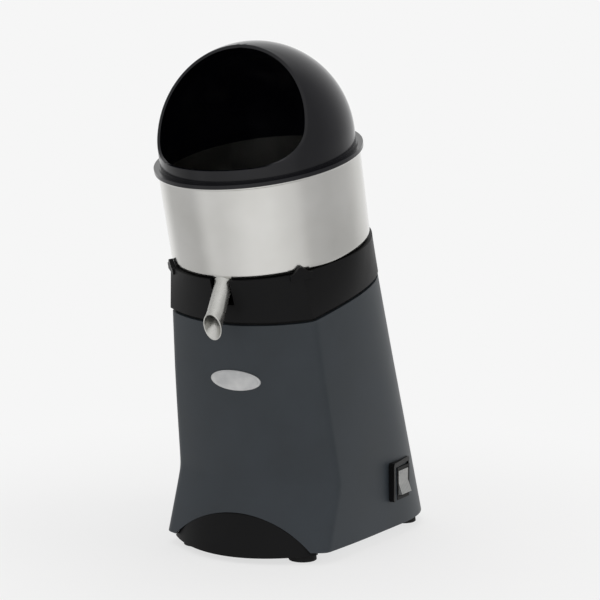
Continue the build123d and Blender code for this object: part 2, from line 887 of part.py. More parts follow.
with BuildPart() as upper_end_bell:
    with BuildSketch(turning):
        band(0, stator_radius, motor_top - bell_plate, motor_top)
        band(0, pilot_radius, motor_top, motor_top + pilot_height)
        band(stator_radius - end_bell_wall, stator_radius, stack_top, motor_top)
        band(0, boss_radius, upper_seat, motor_top)
    revolve(axis=press_axis)
    with BuildSketch(turning):
        band(0, shaft_radius + throat_gap, upper_seat, motor_top + pilot_height)
        band(0, bearing_radius, upper_seat, upper_seat + bearing_width)
    revolve(axis=press_axis, mode=Mode.SUBTRACT)
    with BuildSketch(level(motor_top)):
        with PolarLocations(motor_screw_circle, 4, start_angle=45):
            Circle(screw_radius + screw_gap)
    extrude(amount=-bell_plate, mode=Mode.SUBTRACT)
    with BuildSketch(level(stack_top)):
        with PolarLocations(tie_bolt_circle, 4):
            Circle(tie_bolt_radius + screw_gap)
    extrude(amount=end_bell_length - bell_plate, mode=Mode.SUBTRACT)

with BuildPart() as lower_end_bell:
    with BuildSketch(turning):
        band(0, stator_radius, motor_foot, lower_seat)
        band(stator_radius - end_bell_wall, stator_radius, motor_foot, stack_foot)
        band(0, boss_radius, motor_foot, lower_seat + bearing_width)
    revolve(axis=press_axis)
    with BuildSketch(turning):
        band(0, shaft_radius + throat_gap, motor_foot, lower_seat)
        band(0, bearing_radius, lower_seat, lower_seat + bearing_width)
    revolve(axis=press_axis, mode=Mode.SUBTRACT)
    with BuildSketch(level(motor_foot)):
        with PolarLocations((boss_radius + stator_radius - end_bell_wall) / 2, 8):
            Circle(bell_vent_radius)
        with PolarLocations(tie_bolt_circle, 4):
            Circle(tie_bolt_radius + screw_gap)
    extrude(amount=end_bell_length, mode=Mode.SUBTRACT)

with BuildPart() as stator_core:
    with BuildSketch(level(stack_foot)):
        Circle(stator_radius)
        Circle(rotor_radius + air_gap, mode=Mode.SUBTRACT)
        with PolarLocations(winding_circle, winding_slots):
            Rectangle(winding_depth, winding_width, mode=Mode.SUBTRACT)
        with PolarLocations(tie_bolt_circle, 4):
            Circle(tie_bolt_radius + screw_gap, mode=Mode.SUBTRACT)
    extrude(amount=stator_length)

with BuildPart() as stator_windings:
    with BuildSketch(level(stack_foot - winding_overhang)):
        with PolarLocations(winding_circle, winding_slots):
            Rectangle(winding_depth - 2 * screw_gap, winding_width - 2 * screw_gap)
    extrude(amount=stator_length + 2 * winding_overhang)
    with BuildSketch(turning):
        inner, outer = winding_circle - winding_depth / 2, winding_circle + winding_depth / 2
        for start in (stack_foot - winding_overhang, stack_top):
            band(inner + screw_gap, outer - screw_gap, start, start + winding_overhang)
    revolve(axis=press_axis)

with BuildPart() as tie_bolts:
    with BuildSketch(level(motor_foot)):
        with PolarLocations(tie_bolt_circle, 4):
            Circle(tie_bolt_radius)
    extrude(amount=motor_top - bell_plate - motor_foot - screw_end_gap)
    with BuildSketch(level(motor_foot)):
        with PolarLocations(tie_bolt_circle, 4):
            RegularPolygon(tie_head_radius, 6)
    extrude(amount=-tie_head)

with BuildPart() as motor_screws:
    with BuildSketch(level(body_top)):
        with PolarLocations(motor_screw_circle, 4, start_angle=45):
            Circle(screw_head_radius)
    extrude(amount=screw_head)
    with BuildSketch(level(body_top)):
        with PolarLocations(motor_screw_circle, 4, start_angle=45):
            Circle(screw_radius)
    extrude(amount=-(body_deck + bell_plate - screw_end_gap))


def bearing(seat):
    """The turned profile of a shielded ball bearing, with a groove round each shield."""
    band(shaft_radius + press_gap, bearing_radius - press_gap, seat, seat + bearing_width)
    for low in (seat, seat + bearing_width - bearing_groove):
        with Locations(((shaft_radius + bearing_radius) / 2, low + bearing_groove / 2)):
            Rectangle((bearing_radius - shaft_radius) / 2, bearing_groove, mode=Mode.SUBTRACT)


with BuildPart() as upper_bearing:
    with BuildSketch(turning):
        bearing(upper_seat)
    revolve(axis=press_axis)

with BuildPart() as lower_bearing:
    with BuildSketch(turning):
        bearing(lower_seat)
    revolve(axis=press_axis)

# ---------------------------------------------------------------- capacitor and terminal block
clamp_outer = capacitor_radius + press_gap + clamp_thickness
capacitor_z = plate_top + clamp_outer
with BuildPart() as capacitor:
    with BuildSketch(Plane.XZ.offset(-capacitor_y)):
        with Locations((capacitor_x, capacitor_z)):
            Circle(capacitor_radius)
    extrude(amount=-capacitor_length)
    with BuildSketch(Plane.XZ.offset(-capacitor_y - capacitor_length)):
        with Locations((capacitor_x - blade_width, capacitor_z), (capacitor_x + blade_width, capacitor_z)):
            Rectangle(blade_thickness, blade_width)
    extrude(amount=-blade_length)

with BuildPart() as capacitor_clamp:
    with BuildSketch(Plane.XZ.offset(-capacitor_y - capacitor_length / 2)):
        with Locations((capacitor_x, capacitor_z)):
            Circle(clamp_outer)
        with Locations((capacitor_x + (clamp_outer + clamp_tab) / 2, plate_top + clamp_thickness / 2)):
            Rectangle(clamp_outer + clamp_tab, clamp_thickness)
        with Locations((capacitor_x, capacitor_z)):
            Circle(capacitor_radius + press_gap, mode=Mode.SUBTRACT)
    extrude(amount=clamp_width / 2, both=True)

with BuildPart() as terminal_block:
    with BuildSketch(Plane.XY.offset(plate_top)):
        with Locations((terminal_x, terminal_y)):
            Rectangle(terminal_length, terminal_depth)
    extrude(amount=terminal_height)
    with BuildSketch(Plane.XY.offset(plate_top + terminal_height)):
        with Locations((terminal_x, terminal_y)):
            with GridLocations(terminal_pitch, terminal_depth / 2, terminal_ways, 2):
                Circle(small_head_radius)
    extrude(amount=-terminal_height / 2, mode=Mode.SUBTRACT)

# ---------------------------------------------------------------- turning pieces
fan_top = motor_foot - fan_clear
shaft_foot = fan_top - fan_thickness - shaft_tail
with BuildPart() as motor_shaft:
    with BuildSketch(turning):
        band(0, shaft_radius, shaft_foot, hub_top - hub_cap)
    revolve(axis=press_axis)
    with BuildSketch(side_view):
        with Locations((0, pin_level)):
            Circle(pin_radius + press_gap)
    extrude(amount=hub_radius, both=True, mode=Mode.SUBTRACT)

with BuildPart() as rotor_core:
    with BuildSketch(turning):
        band(shaft_radius + press_gap, rotor_radius, stack_foot, stack_top)
        for start in (stack_foot - end_ring, stack_top):
            band(end_ring_radius, rotor_radius, start, start + end_ring)
    revolve(axis=press_axis)

with BuildPart() as cooling_fan:
    with BuildSketch(turning):
        band(shaft_radius + press_gap, fan_hub_radius, fan_top - fan_thickness, fan_top)
        band(shaft_radius + press_gap, fan_radius, fan_top - fan_disc, fan_top)
    revolve(axis=press_axis)
    with BuildSketch(level(fan_top - fan_thickness)):
        with PolarLocations((fan_hub_radius + fan_radius) / 2, fan_blades, start_angle=fan_sweep):
            Rectangle(fan_radius - fan_hub_radius, fan_disc, rotation=fan_sweep)
    extrude(amount=fan_thickness - fan_disc / 2)

with BuildPart() as slinger_ring:
    with BuildSketch(turning):
        band(shaft_radius + press_gap, slinger_radius, slinger_foot, slinger_foot + slinger_thickness)
    revolve(axis=press_axis)

with BuildPart() as drive_hub:
    with BuildSketch(level(hub_foot)):
        Circle(hub_radius)
        Rectangle(2 * hub_flat, 2 * hub_radius, mode=Mode.INTERSECT)
    extrude(amount=hub_top - hub_foot)
    chamfer(drive_hub.faces().sort_by(press_axis)[-1].edges(), hub_chamfer)
    with BuildSketch(turning):
        band(0, shaft_radius + press_gap, hub_foot, hub_top - hub_cap)
    revolve(axis=press_axis, mode=Mode.SUBTRACT)
    with BuildSketch(side_view):
        with Locations((0, pin_level)):
            Circle(pin_radius + press_gap)
    extrude(amount=hub_radius, both=True, mode=Mode.SUBTRACT)

with BuildPart() as drive_pin:
    with BuildSketch(side_view):
        with Locations((0, pin_level)):
            Circle(pin_radius)
    extrude(amount=hub_flat - press_gap, both=True)

# ---------------------------------------------------------------- bowl and spout
bowl_foot_radius = bowl_radius - bowl_taper
with BuildPart() as bowl_envelope:
    with BuildSketch(turning) as envelope_half:
        with BuildLine():
            Polyline(
                (0, 0), (bowl_radius, 0), (bowl_foot_radius, -bowl_depth), (0, -bowl_depth), close=True
            )
        make_face()
        fillet(envelope_half.vertices().sort_by_distance((bowl_foot_radius, -bowl_depth))[0], bowl_corner)
    revolve(axis=press_axis)

spout_axis = Plane(
    origin=(0, spout_mouth_y, spout_mouth_z),
    x_dir=(1, 0, 0),
    z_dir=(0, sin(radians(spout_lean)), cos(radians(spout_lean))),
)

with BuildPart() as juice_bowl:
    with BuildSketch(turning) as bowl_half:
        with BuildLine():
            Polyline(
                (chimney_radius - chimney_wall, -bowl_depth),
                (bowl_foot_radius, -bowl_depth),
                (bowl_radius, 0),
                (bowl_radius - bowl_wall, 0),
                (bowl_foot_radius - bowl_wall, bowl_wall - bowl_depth),
                (chimney_radius, bowl_wall - bowl_depth),
                (chimney_radius, chimney_top),
                (chimney_radius - chimney_wall, chimney_top),
                close=True,
            )
        make_face()
        fillet(bowl_half.vertices().sort_by_distance((bowl_foot_radius, -bowl_depth))[0], bowl_corner)
        fillet(
            bowl_half.vertices().sort_by_distance((bowl_foot_radius - bowl_wall, bowl_wall - bowl_depth))[0],
            bowl_corner - bowl_wall,
        )
        with Locations((bowl_radius - bowl_wall + rim_bead, -rim_bead)):
            Circle(rim_bead)
    revolve(axis=press_axis)
    with BuildSketch(spout_axis.offset(spout_root - spout_radius)):
        Circle(spout_radius - spout_wall)
    extrude(amount=3 * spout_radius, mode=Mode.SUBTRACT)

with BuildPart() as spout_tube:
    with BuildSketch(Plane(origin=spout_axis.origin, x_dir=(1, 0, 0), z_dir=-spout_axis.y_dir)):
        lip_reach = spout_lip_length + spout_lip
        with BuildLine():
            Polyline(
                (spout_radius - spout_wall, spout_root + 2 * spout_radius),
                (weld_radius, spout_root + 2 * spout_radius),
                (weld_radius, spout_root + weld_length),
                (spout_radius, spout_root - 2 * weld_length),
                (spout_radius, spout_lip_length),
                (spout_lip, -spout_lip_length),
                (spout_lip, -lip_reach),
                (spout_lip - spout_wall, -lip_reach),
                (spout_lip - spout_wall, -spout_lip_length),
                (spout_radius - spout_wall, spout_lip_length),
                close=True,
            )
        make_face()
    revolve(axis=Axis(spout_axis.origin, spout_axis.z_dir))
    with BuildSketch(
        Plane(
            origin=spout_axis.origin,
            x_dir=(1, 0, 0),
            z_dir=(0, -cos(radians(spout_cut)), -sin(radians(spout_cut))),
        )
    ):
        Rectangle(8 * spout_radius, 8 * spout_radius)
    extrude(amount=4 * spout_radius, mode=Mode.SUBTRACT)
    add(bowl_envelope.part, mode=Mode.SUBTRACT)

# ---------------------------------------------------------------- strainer and squeezer
with BuildPart() as strainer_basket:
    with BuildSketch(turning):
        strainer_brim = strainer_top + strainer_sheet
        band(strainer_radius - strainer_sheet, strainer_radius, strainer_foot, strainer_top)
        band(strainer_radius - strainer_sheet, strainer_radius + strainer_bead, strainer_top, strainer_brim)
        throat = strainer_throat + strainer_sheet
        band(strainer_throat, throat, strainer_floor + strainer_rise, strainer_throat_top)
        with BuildLine():
            Polyline(
                (strainer_radius, strainer_floor),
                (strainer_radius, strainer_floor + strainer_sheet),
                (strainer_throat, strainer_floor + strainer_rise + strainer_sheet),
                (strainer_throat, strainer_floor + strainer_rise),
                close=True,
            )
        make_face()
    revolve(axis=press_axis)
    with BuildSketch(level(strainer_floor - strainer_sheet)):
        for row, radius in enumerate(slot_rows):
            with PolarLocations(radius, slots_per_row, start_angle=row * 180 / slots_per_row):
                Rectangle(slot_length, slot_gap)
    extrude(amount=strainer_rise + 3 * strainer_sheet, mode=Mode.SUBTRACT)

cone_foot = squeezer_base_level + squeezer_base_thickness


def cone_half(proud):
    """Half of the pressing cone's side profile, its face standing proud by the given amount."""
    foot = (squeezer_cone_radius + proud, cone_foot)
    tip = (0, squeezer_tip - rib_proud + proud)
    middle = (cone_fullness * foot[0], (foot[1] + tip[1]) / 2)
    ThreePointArc(tip, middle, foot)
    Polyline(foot, (0, cone_foot), tip)


with BuildPart() as rib_form:
    with BuildSketch(turning):
        with BuildLine():
            cone_half(rib_proud)
        make_face()
    revolve(axis=press_axis)

with BuildPart() as cone_ribs:
    with BuildSketch(level(cone_foot)):
        with PolarLocations(squeezer_cone_radius / 2 + rib_proud, squeezer_ribs):
            Rectangle(squeezer_cone_radius + 2 * rib_proud, rib_width)
    extrude(amount=squeezer_tip - cone_foot)
    add(rib_form.part, mode=Mode.INTERSECT)

with BuildPart() as squeezer_cone:
    with BuildSketch(turning):
        band(0, squeezer_base_radius, squeezer_base_level, cone_foot)
        skirt_foot = squeezer_base_level - skirt_length
        band(skirt_radius, skirt_radius + skirt_wall, skirt_foot, squeezer_base_level)
    revolve(axis=press_axis)
    with BuildSketch(turning):
        with BuildLine():
            cone_half(0)
        make_face()
    revolve(axis=press_axis)
    add(cone_ribs.part)
    with BuildSketch(level(squeezer_base_level)):
        Circle(skirt_radius)
    extrude(amount=chimney_top + throat_gap - squeezer_base_level, mode=Mode.SUBTRACT)
    with BuildSketch(level(squeezer_base_level)):
        Circle(hub_radius + running_gap)
        Rectangle(2 * (hub_flat + running_gap), 3 * hub_radius, mode=Mode.INTERSECT)
    extrude(amount=hub_top + running_gap - squeezer_base_level, mode=Mode.SUBTRACT)

# ---------------------------------------------------------------- splash guard
spigot_outer = bowl_radius - bowl_wall - spigot_clear
guard_inner = guard_radius - guard_wall
with BuildPart() as splash_guard:
    with BuildSketch(turning):
        with BuildLine():
            turn = sin(radians(45))
            ThreePointArc(
                (0, guard_centre + guard_radius),
                (guard_radius * turn, guard_centre + guard_radius * turn),
                (guard_radius, guard_centre),
            )
            Polyline(
                (guard_radius, guard_centre),
                (guard_radius, guard_step_top),
                (guard_radius + guard_step, guard_step_top),
                (guard_radius + guard_step, running_gap + flange_thickness),
                (flange_radius, running_gap + flange_thickness),
                (flange_radius, running_gap),
                (spigot_outer, running_gap),
                (spigot_outer, -spigot_depth),
                (spigot_outer - spigot_wall, -spigot_depth),
                (spigot_outer - spigot_wall, running_gap),
                (guard_inner, running_gap),
                (guard_inner, guard_centre),
            )
            ThreePointArc(
                (guard_inner, guard_centre),
                (guard_inner * turn, guard_centre + guard_inner * turn),
                (0, guard_centre + guard_inner),
            )
            Line((0, guard_centre + guard_inner), (0, guard_centre + guard_radius))
        make_face()
    revolve(axis=press_axis)
    with BuildSketch(side_view):
        far = 2 * guard_radius
        slope_x, slope_y = cos(radians(mouth_slope)), sin(radians(mouth_slope))
        with BuildLine():
            FilletPolyline(
                (-far, mouth_sill),
                (-mouth_foot, mouth_sill),
                (-mouth_foot + far * slope_x, mouth_sill + far * slope_y),
                radius=mouth_corner,
            )
            Polyline(
                (-mouth_foot + far * slope_x, mouth_sill + far * slope_y),
                (-far, mouth_sill + far * slope_y),
                (-far, mouth_sill),
            )
        make_face()
    extrude(amount=guard_radius, both=True, mode=Mode.SUBTRACT)

# ---------------------------------------------------------------- export
os.makedirs("parts", exist_ok=True)
housing_shell.part.label = "housing_shell"
export_step(housing_shell.part, "parts/housing_shell.step")
top_collar.part.label = "top_collar"
export_step(top_collar.part, "parts/top_collar.step")
collar_gasket.part.label = "collar_gasket"
export_step(collar_gasket.part, "parts/collar_gasket.step")
collar_screws.part.label = "collar_screws"
export_step(collar_screws.part, "parts/collar_screws.step")
front_plinth.part.label = "front_plinth"
export_step(front_plinth.part, "parts/front_plinth.step")
plinth_screws.part.label = "plinth_screws"
export_step(plinth_screws.part, "parts/plinth_screws.step")
base_plate.part.label = "base_plate"
export_step(base_plate.part, "parts/base_plate.step")
rubber_feet.part.label = "rubber_feet"
export_step(rubber_feet.part, "parts/rubber_feet.step")
foot_screws.part.label = "foot_screws"
export_step(foot_screws.part, "parts/foot_screws.step")
badge_plate.part.label = "badge_plate"
export_step(badge_plate.part, "parts/badge_plate.step")
switch_hood.part.label = "switch_hood"
export_step(switch_hood.part, "parts/switch_hood.step")
switch_body.part.label = "switch_body"
export_step(switch_body.part, "parts/switch_body.step")
switch_rocker.part.label = "switch_rocker"
export_step(switch_rocker.part, "parts/switch_rocker.step")
power_inlet.part.label = "power_inlet"
export_step(power_inlet.part, "parts/power_inlet.step")
inlet_screws.part.label = "inlet_screws"
export_step(inlet_screws.part, "parts/inlet_screws.step")
shaft_seal.part.label = "shaft_seal"
export_step(shaft_seal.part, "parts/shaft_seal.step")
upper_end_bell.part.label = "upper_end_bell"
export_step(upper_end_bell.part, "parts/upper_end_bell.step")
lower_end_bell.part.label = "lower_end_bell"
export_step(lower_end_bell.part, "parts/lower_end_bell.step")
stator_core.part.label = "stator_core"
export_step(stator_core.part, "parts/stator_core.step")
stator_windings.part.label = "stator_windings"
export_step(stator_windings.part, "parts/stator_windings.step")
tie_bolts.part.label = "tie_bolts"
export_step(tie_bolts.part, "parts/tie_bolts.step")
motor_screws.part.label = "motor_screws"
export_step(motor_screws.part, "parts/motor_screws.step")
upper_bearing.part.label = "upper_bearing"
export_step(upper_bearing.part, "parts/upper_bearing.step")
lower_bearing.part.label = "lower_bearing"
export_step(lower_bearing.part, "parts/lower_bearing.step")
capacitor.part.label = "capacitor"
export_step(capacitor.part, "parts/capacitor.step")
capacitor_clamp.part.label = "capacitor_clamp"
export_step(capacitor_clamp.part, "parts/capacitor_clamp.step")
terminal_block.part.label = "terminal_block"
export_step(terminal_block.part, "parts/terminal_block.step")
motor_shaft.part.label = "motor_shaft"
export_step(motor_shaft.part, "parts/motor_shaft.step")
rotor_core.part.label = "rotor_core"
export_step(rotor_core.part, "parts/rotor_core.step")
cooling_fan.part.label = "cooling_fan"
export_step(cooling_fan.part, "parts/cooling_fan.step")
slinger_ring.part.label = "slinger_ring"
export_step(slinger_ring.part, "parts/slinger_ring.step")
drive_hub.part.label = "drive_hub"
export_step(drive_hub.part, "parts/drive_hub.step")
drive_pin.part.label = "drive_pin"
export_step(drive_pin.part, "parts/drive_pin.step")
juice_bowl.part.label = "juice_bowl"
export_step(juice_bowl.part, "parts/juice_bowl.step")
spout_tube.part.label = "spout_tube"
export_step(spout_tube.part, "parts/spout_tube.step")
strainer_basket.part.label = "strainer_basket"
export_step(strainer_basket.part, "parts/strainer_basket.step")
squeezer_cone.part.label = "squeezer_cone"
export_step(squeezer_cone.part, "parts/squeezer_cone.step")
splash_guard.part.label = "splash_guard"
export_step(splash_guard.part, "parts/splash_guard.step")
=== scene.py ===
"""Looks of a motor-driven citrus juicer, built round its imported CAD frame.

Lengths in the classes are in millimetres, as a maker gives them, and meshes are written in metres.
Places on the leaning press axis are given as x, across (rearwards) and up (from the bowl's rim).
"""
import logging
import math
from collections.abc import Callable
from dataclasses import dataclass
from enum import Enum

import bmesh
import bpy
import numpy as np
from mathutils import Matrix, Vector


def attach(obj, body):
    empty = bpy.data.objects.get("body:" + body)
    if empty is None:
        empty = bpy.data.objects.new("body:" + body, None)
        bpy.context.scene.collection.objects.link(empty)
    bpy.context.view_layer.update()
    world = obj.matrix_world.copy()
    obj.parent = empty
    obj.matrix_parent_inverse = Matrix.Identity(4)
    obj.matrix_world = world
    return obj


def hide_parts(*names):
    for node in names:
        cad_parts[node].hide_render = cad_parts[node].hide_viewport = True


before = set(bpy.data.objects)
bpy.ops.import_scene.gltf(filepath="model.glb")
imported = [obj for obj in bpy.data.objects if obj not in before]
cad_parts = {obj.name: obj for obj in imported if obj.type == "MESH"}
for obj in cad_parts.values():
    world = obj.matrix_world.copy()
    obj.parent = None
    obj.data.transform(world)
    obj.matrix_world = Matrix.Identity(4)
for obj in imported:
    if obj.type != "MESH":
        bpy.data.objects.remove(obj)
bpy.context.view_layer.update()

MM = 0.001
WHITE = (1.0, 1.0, 1.0, 1.0)
GRID_WELD, COPY_WELD = 4e-6, 1e-6
COPY_FLAT_DEG, COPY_SHARP_DEG = 0.4, 30.0
LOG = logging.getLogger("juicer")


# ---------------------------------------------------------------- choices, labels and axes
class Body(Enum):
    """The bodies that new pieces ride on."""

    BASE = "base"
    BOWL = "bowl"
    SQUEEZER = "squeezer"
    GUARD = "guard"
    ROCKER = "rocker"


class Relief(Enum):
    """The kinds of fine relief a surface can have: a node, its output and the settings that shape it."""

    GRAIN = ("TexNoise", "Fac", {"Detail": 3.0, "Roughness": 0.6})
    PEBBLE = ("TexVoronoi", "Distance", {"Randomness": 1.0})
    STREAK = ("TexNoise", "Fac", {"Detail": 5.0, "Roughness": 0.7})
    SHEETS = ("TexWave", "Fac", {"Distortion": 0.15, "Detail": 1.0})


@dataclass(frozen=True)
class Label:
    """A piece's name, the body it rides on, the CAD piece it stands for and its material slot."""

    name: str
    body: Body
    node: str
    slot: str = ""


@dataclass(frozen=True)
class Easing:
    """A small bevel on a piece's hard edges, those that turn by more than an angle."""

    width_mm: float
    segments: int = 2
    angle_deg: float = 40.0

    def put_on(self, piece: bpy.types.Object) -> None:
        """Adds the bevel to a piece.

        Args:
            piece: the piece.
        """
        bevel = piece.modifiers.new("eased_edges", "BEVEL")
        bevel.width, bevel.segments = self.width_mm * MM, self.segments
        bevel.limit_method, bevel.angle_limit = "ANGLE", math.radians(self.angle_deg)
        bevel.harden_normals = True


@dataclass(frozen=True)
class Axes:
    """A turning axis, by a point on it and its forward lean."""

    origin: tuple[float, float, float]
    lean_deg: float = 0.0

    def world(self, x: np.ndarray, across: np.ndarray, up: np.ndarray) -> np.ndarray:
        """Places given on these axes, in the frame's own metres.

        Args:
            x: distances to the user's right.
            across: distances rearwards, square to the axis.
            up: distances along the axis.

        Returns:
            An array of points, with x, y and z last.
        """
        lean = math.radians(self.lean_deg)
        x, across, up = np.broadcast_arrays(x, across, up)
        y = self.origin[1] + across * math.cos(lean) - up * math.sin(lean)
        z = self.origin[2] + across * math.sin(lean) + up * math.cos(lean)
        return np.stack([self.origin[0] + x, y, z], -1) * MM

    def ring(self, radius: np.ndarray, turn: np.ndarray, up: np.ndarray) -> np.ndarray:
        """Places round the axis: x is radius times sine of the turn, across is radius times minus cosine."""
        return self.world(radius * np.sin(turn), -radius * np.cos(turn), up)


PRESS = Axes((0.0, -58.4, 381.8), 14.86)


# ---------------------------------------------------------------- curves
def rounded(corners: list[tuple[float, float, float]], steps: int = 5, lead: float = 0.3) -> np.ndarray:
    """A closed profile through corners, each rounded by an arc with a point just outside each end.

    Args:
        corners: (radius from the axis, height, rounding radius) of each corner.
        steps: how many pieces each arc has.
        lead: how far outside an arc's end the extra point lies, as a share of its radius.

    Returns:
        The profile's points, the first one repeated at the end.
    """
    spots = np.array([c[:2] for c in corners], float)
    path = []
    for k, (*_, radius) in enumerate(corners):
        here = spots[k]
        if radius <= 0:
            path.append(here)
            continue
        sides = np.array([spots[k - 1], spots[(k + 1) % len(spots)]]) - here
        back, ahead = sides / np.linalg.norm(sides, axis=1, keepdims=True)
        half = 0.5 * math.acos(float(np.clip(back @ ahead, -1, 1)))
        reach, sweep = radius / math.tan(half), math.pi - 2 * half
        middle = here + (back + ahead) / np.linalg.norm(back + ahead) * radius / math.sin(half)
        share = np.linspace(0, 1, steps + 1)[:, None]
        start, end = here + back * reach - middle, here + ahead * reach - middle
        arc = middle + (start * np.sin((1 - share) * sweep) + end * np.sin(share * sweep)) / math.sin(sweep)
        far = reach + lead * radius
        path += [here + back * far, *arc, here + ahead * far]
    path.append(path[0])
    return np.array(path)


def bowed(x: np.ndarray, half: np.ndarray, end: np.ndarray, middle: np.ndarray) -> np.ndarray:
    """The y of a circle's arc from (-half, end) through (0, middle) to (half, end).

    Args:
        x: places across.
        half: the ends' x.
        end: the ends' y.
        middle: the middle's y.

    Returns:
        The y at each x.
    """
    bulge = end - middle
    radius = (half**2 + bulge**2) / (2 * bulge)
    return middle + radius - np.sqrt(radius**2 - x**2)


def spline(knots: np.ndarray, share: np.ndarray) -> np.ndarray:
    """A smooth cubic through each row's knots, spaced by chord length, up to the middle knot.

    Each end's slope is that of the parabola through the first three knots. The slopes between
    solve the usual equations of equal curvature at each knot.

    Args:
        knots: (rows, knots, 2).
        share: places from the first knot at 0 to the middle knot at 1.

    Returns:
        Points (rows, places, 2).
    """
    gaps = np.linalg.norm(np.diff(knots, axis=1), axis=-1)
    slopes = np.diff(knots, axis=1) / gaps[..., None]
    rows, count = knots.shape[:2]
    matrix, right = np.zeros((rows, count, count)), np.zeros((rows, count, 2))
    matrix[:, 0, 0] = matrix[:, -1, -1] = 1
    first, last = gaps[:, 0] / (gaps[:, 0] + gaps[:, 1]), gaps[:, -1] / (gaps[:, -1] + gaps[:, -2])
    right[:, 0] = slopes[:, 0] - (slopes[:, 1] - slopes[:, 0]) * first[:, None]
    right[:, -1] = slopes[:, -1] + (slopes[:, -1] - slopes[:, -2]) * last[:, None]
    k = np.arange(1, count - 1)
    matrix[:, k, k - 1] = 1 / gaps[:, :-1]
    matrix[:, k, k] = 2 / gaps[:, :-1] + 2 / gaps[:, 1:]
    matrix[:, k, k + 1] = 1 / gaps[:, 1:]
    right[:, 1:-1] = 3 * (slopes[:, :-1] / gaps[:, :-1, None] + slopes[:, 1:] / gaps[:, 1:, None])
    slope = np.linalg.solve(matrix, right)
    at = np.concatenate([np.zeros((rows, 1)), np.cumsum(gaps, 1)], 1)
    here = at[:, count // 2, None] * share
    span = np.clip((here[..., None] >= at[:, None, 1:-1]).sum(-1), 0, count - 2)
    row = np.arange(rows)[:, None]
    h = gaps[row, span]
    t = ((here - at[row, span]) / h)[..., None]
    a, b, ma, mb = knots[row, span], knots[row, span + 1], slope[row, span], slope[row, span + 1]
    from_a = a * (2 * t**3 - 3 * t**2 + 1) + ma * h[..., None] * (t**3 - 2 * t**2 + t)
    return from_a + b * (3 * t**2 - 2 * t**3) + mb * h[..., None] * (t**3 - t**2)


# ---------------------------------------------------------------- mesh building
def grid_quads(rows: int, columns: int) -> np.ndarray:
    """The corner numbers of a grid's quads, as rows, columns and four corners."""
    index = np.arange(rows * columns).reshape(rows, columns)
    return np.stack([index[:-1, :-1], index[:-1, 1:], index[1:, 1:], index[1:, :-1]], -1)


class Surface:
    """Two-parameter grids gathered into one mesh, with the real lengths along each grid as its UVs."""

    def __init__(self) -> None:
        """Starts with no grids."""
        self.points: list[np.ndarray] = []
        self.quads: list[np.ndarray] = []
        self.lengths: list[np.ndarray] = []
        self.slots: list[np.ndarray] = []
        self.count = 0

    def add(self, grid: np.ndarray, keep: np.ndarray | None = None, slot: int = 0) -> None:
        """Adds one grid of quads.

        Args:
            grid: points in metres, as rows, columns and x, y, z.
            keep: which of its quads stay, all of them if None.
            slot: the number of the finish it takes.
        """
        quads = grid_quads(*grid.shape[:2]) + self.count
        quads = quads.reshape(-1, 4) if keep is None else quads[keep]
        along = np.linalg.norm(np.diff(grid, axis=1), axis=-1).mean(0)
        down = np.linalg.norm(np.diff(grid, axis=0), axis=-1).mean(1)
        u, v = (np.concatenate([[0.0], np.cumsum(part)]) for part in (along, down))
        self.points.append(grid.reshape(-1, 3))
        self.quads.append(quads)
        self.lengths.append(np.stack(np.meshgrid(u, v), -1).reshape(-1, 2))
        self.slots.append(np.full(len(quads), slot))
        self.count += grid.shape[0] * grid.shape[1]

    def turn(self, profile: np.ndarray, axes: Axes, sides: int, slot: int = 0) -> None:
        """Adds a profile turned round an axis, its seam at the rear.

        Args:
            profile: (radius, height) points.
            axes: the axis it is turned round.
            sides: how many steps a full turn has.
            slot: the number of the finish it takes.
        """
        angle = np.linspace(-math.pi, math.pi, sides + 1)
        self.add(axes.ring(profile[:, :1], angle, profile[:, 1:]), slot=slot)

    def build(
        self,
        label: Label,
        *finishes: bpy.types.Material,
        sharp_deg: float = 38.0,
        easing: Easing | None = None,
    ) -> None:
        """Writes the grids as one welded, smooth-shaded piece whose faces look outwards.

        Args:
            label: the piece's label.
            finishes: its materials, in the order of the slot numbers.
            sharp_deg: edges that turn by more than this stay sharp.
            easing: how its hard edges are eased, if they are.
        """
        mesh = bpy.data.meshes.new(label.name)
        points, quads = np.concatenate(self.points), np.concatenate(self.quads)
        mesh.vertices.add(len(points))
        mesh.vertices.foreach_set("co", points.astype(np.float32).ravel())
        mesh.loops.add(quads.size)
        mesh.loops.foreach_set("vertex_index", quads.astype(np.int32).ravel())
        mesh.polygons.add(len(quads))
        mesh.polygons.foreach_set("loop_start", np.arange(0, quads.size, 4, dtype=np.int32))
        mesh.polygons.foreach_set("material_index", np.concatenate(self.slots).astype(np.int32))
        mesh.update(calc_edges=True)
        wrap = mesh.uv_layers.new(name="lengths")
        wrap.data.foreach_set("uv", np.concatenate(self.lengths)[quads.ravel()].astype(np.float32).ravel())
        finish_piece(mesh, label, finishes, sharp_deg, easing, GRID_WELD)


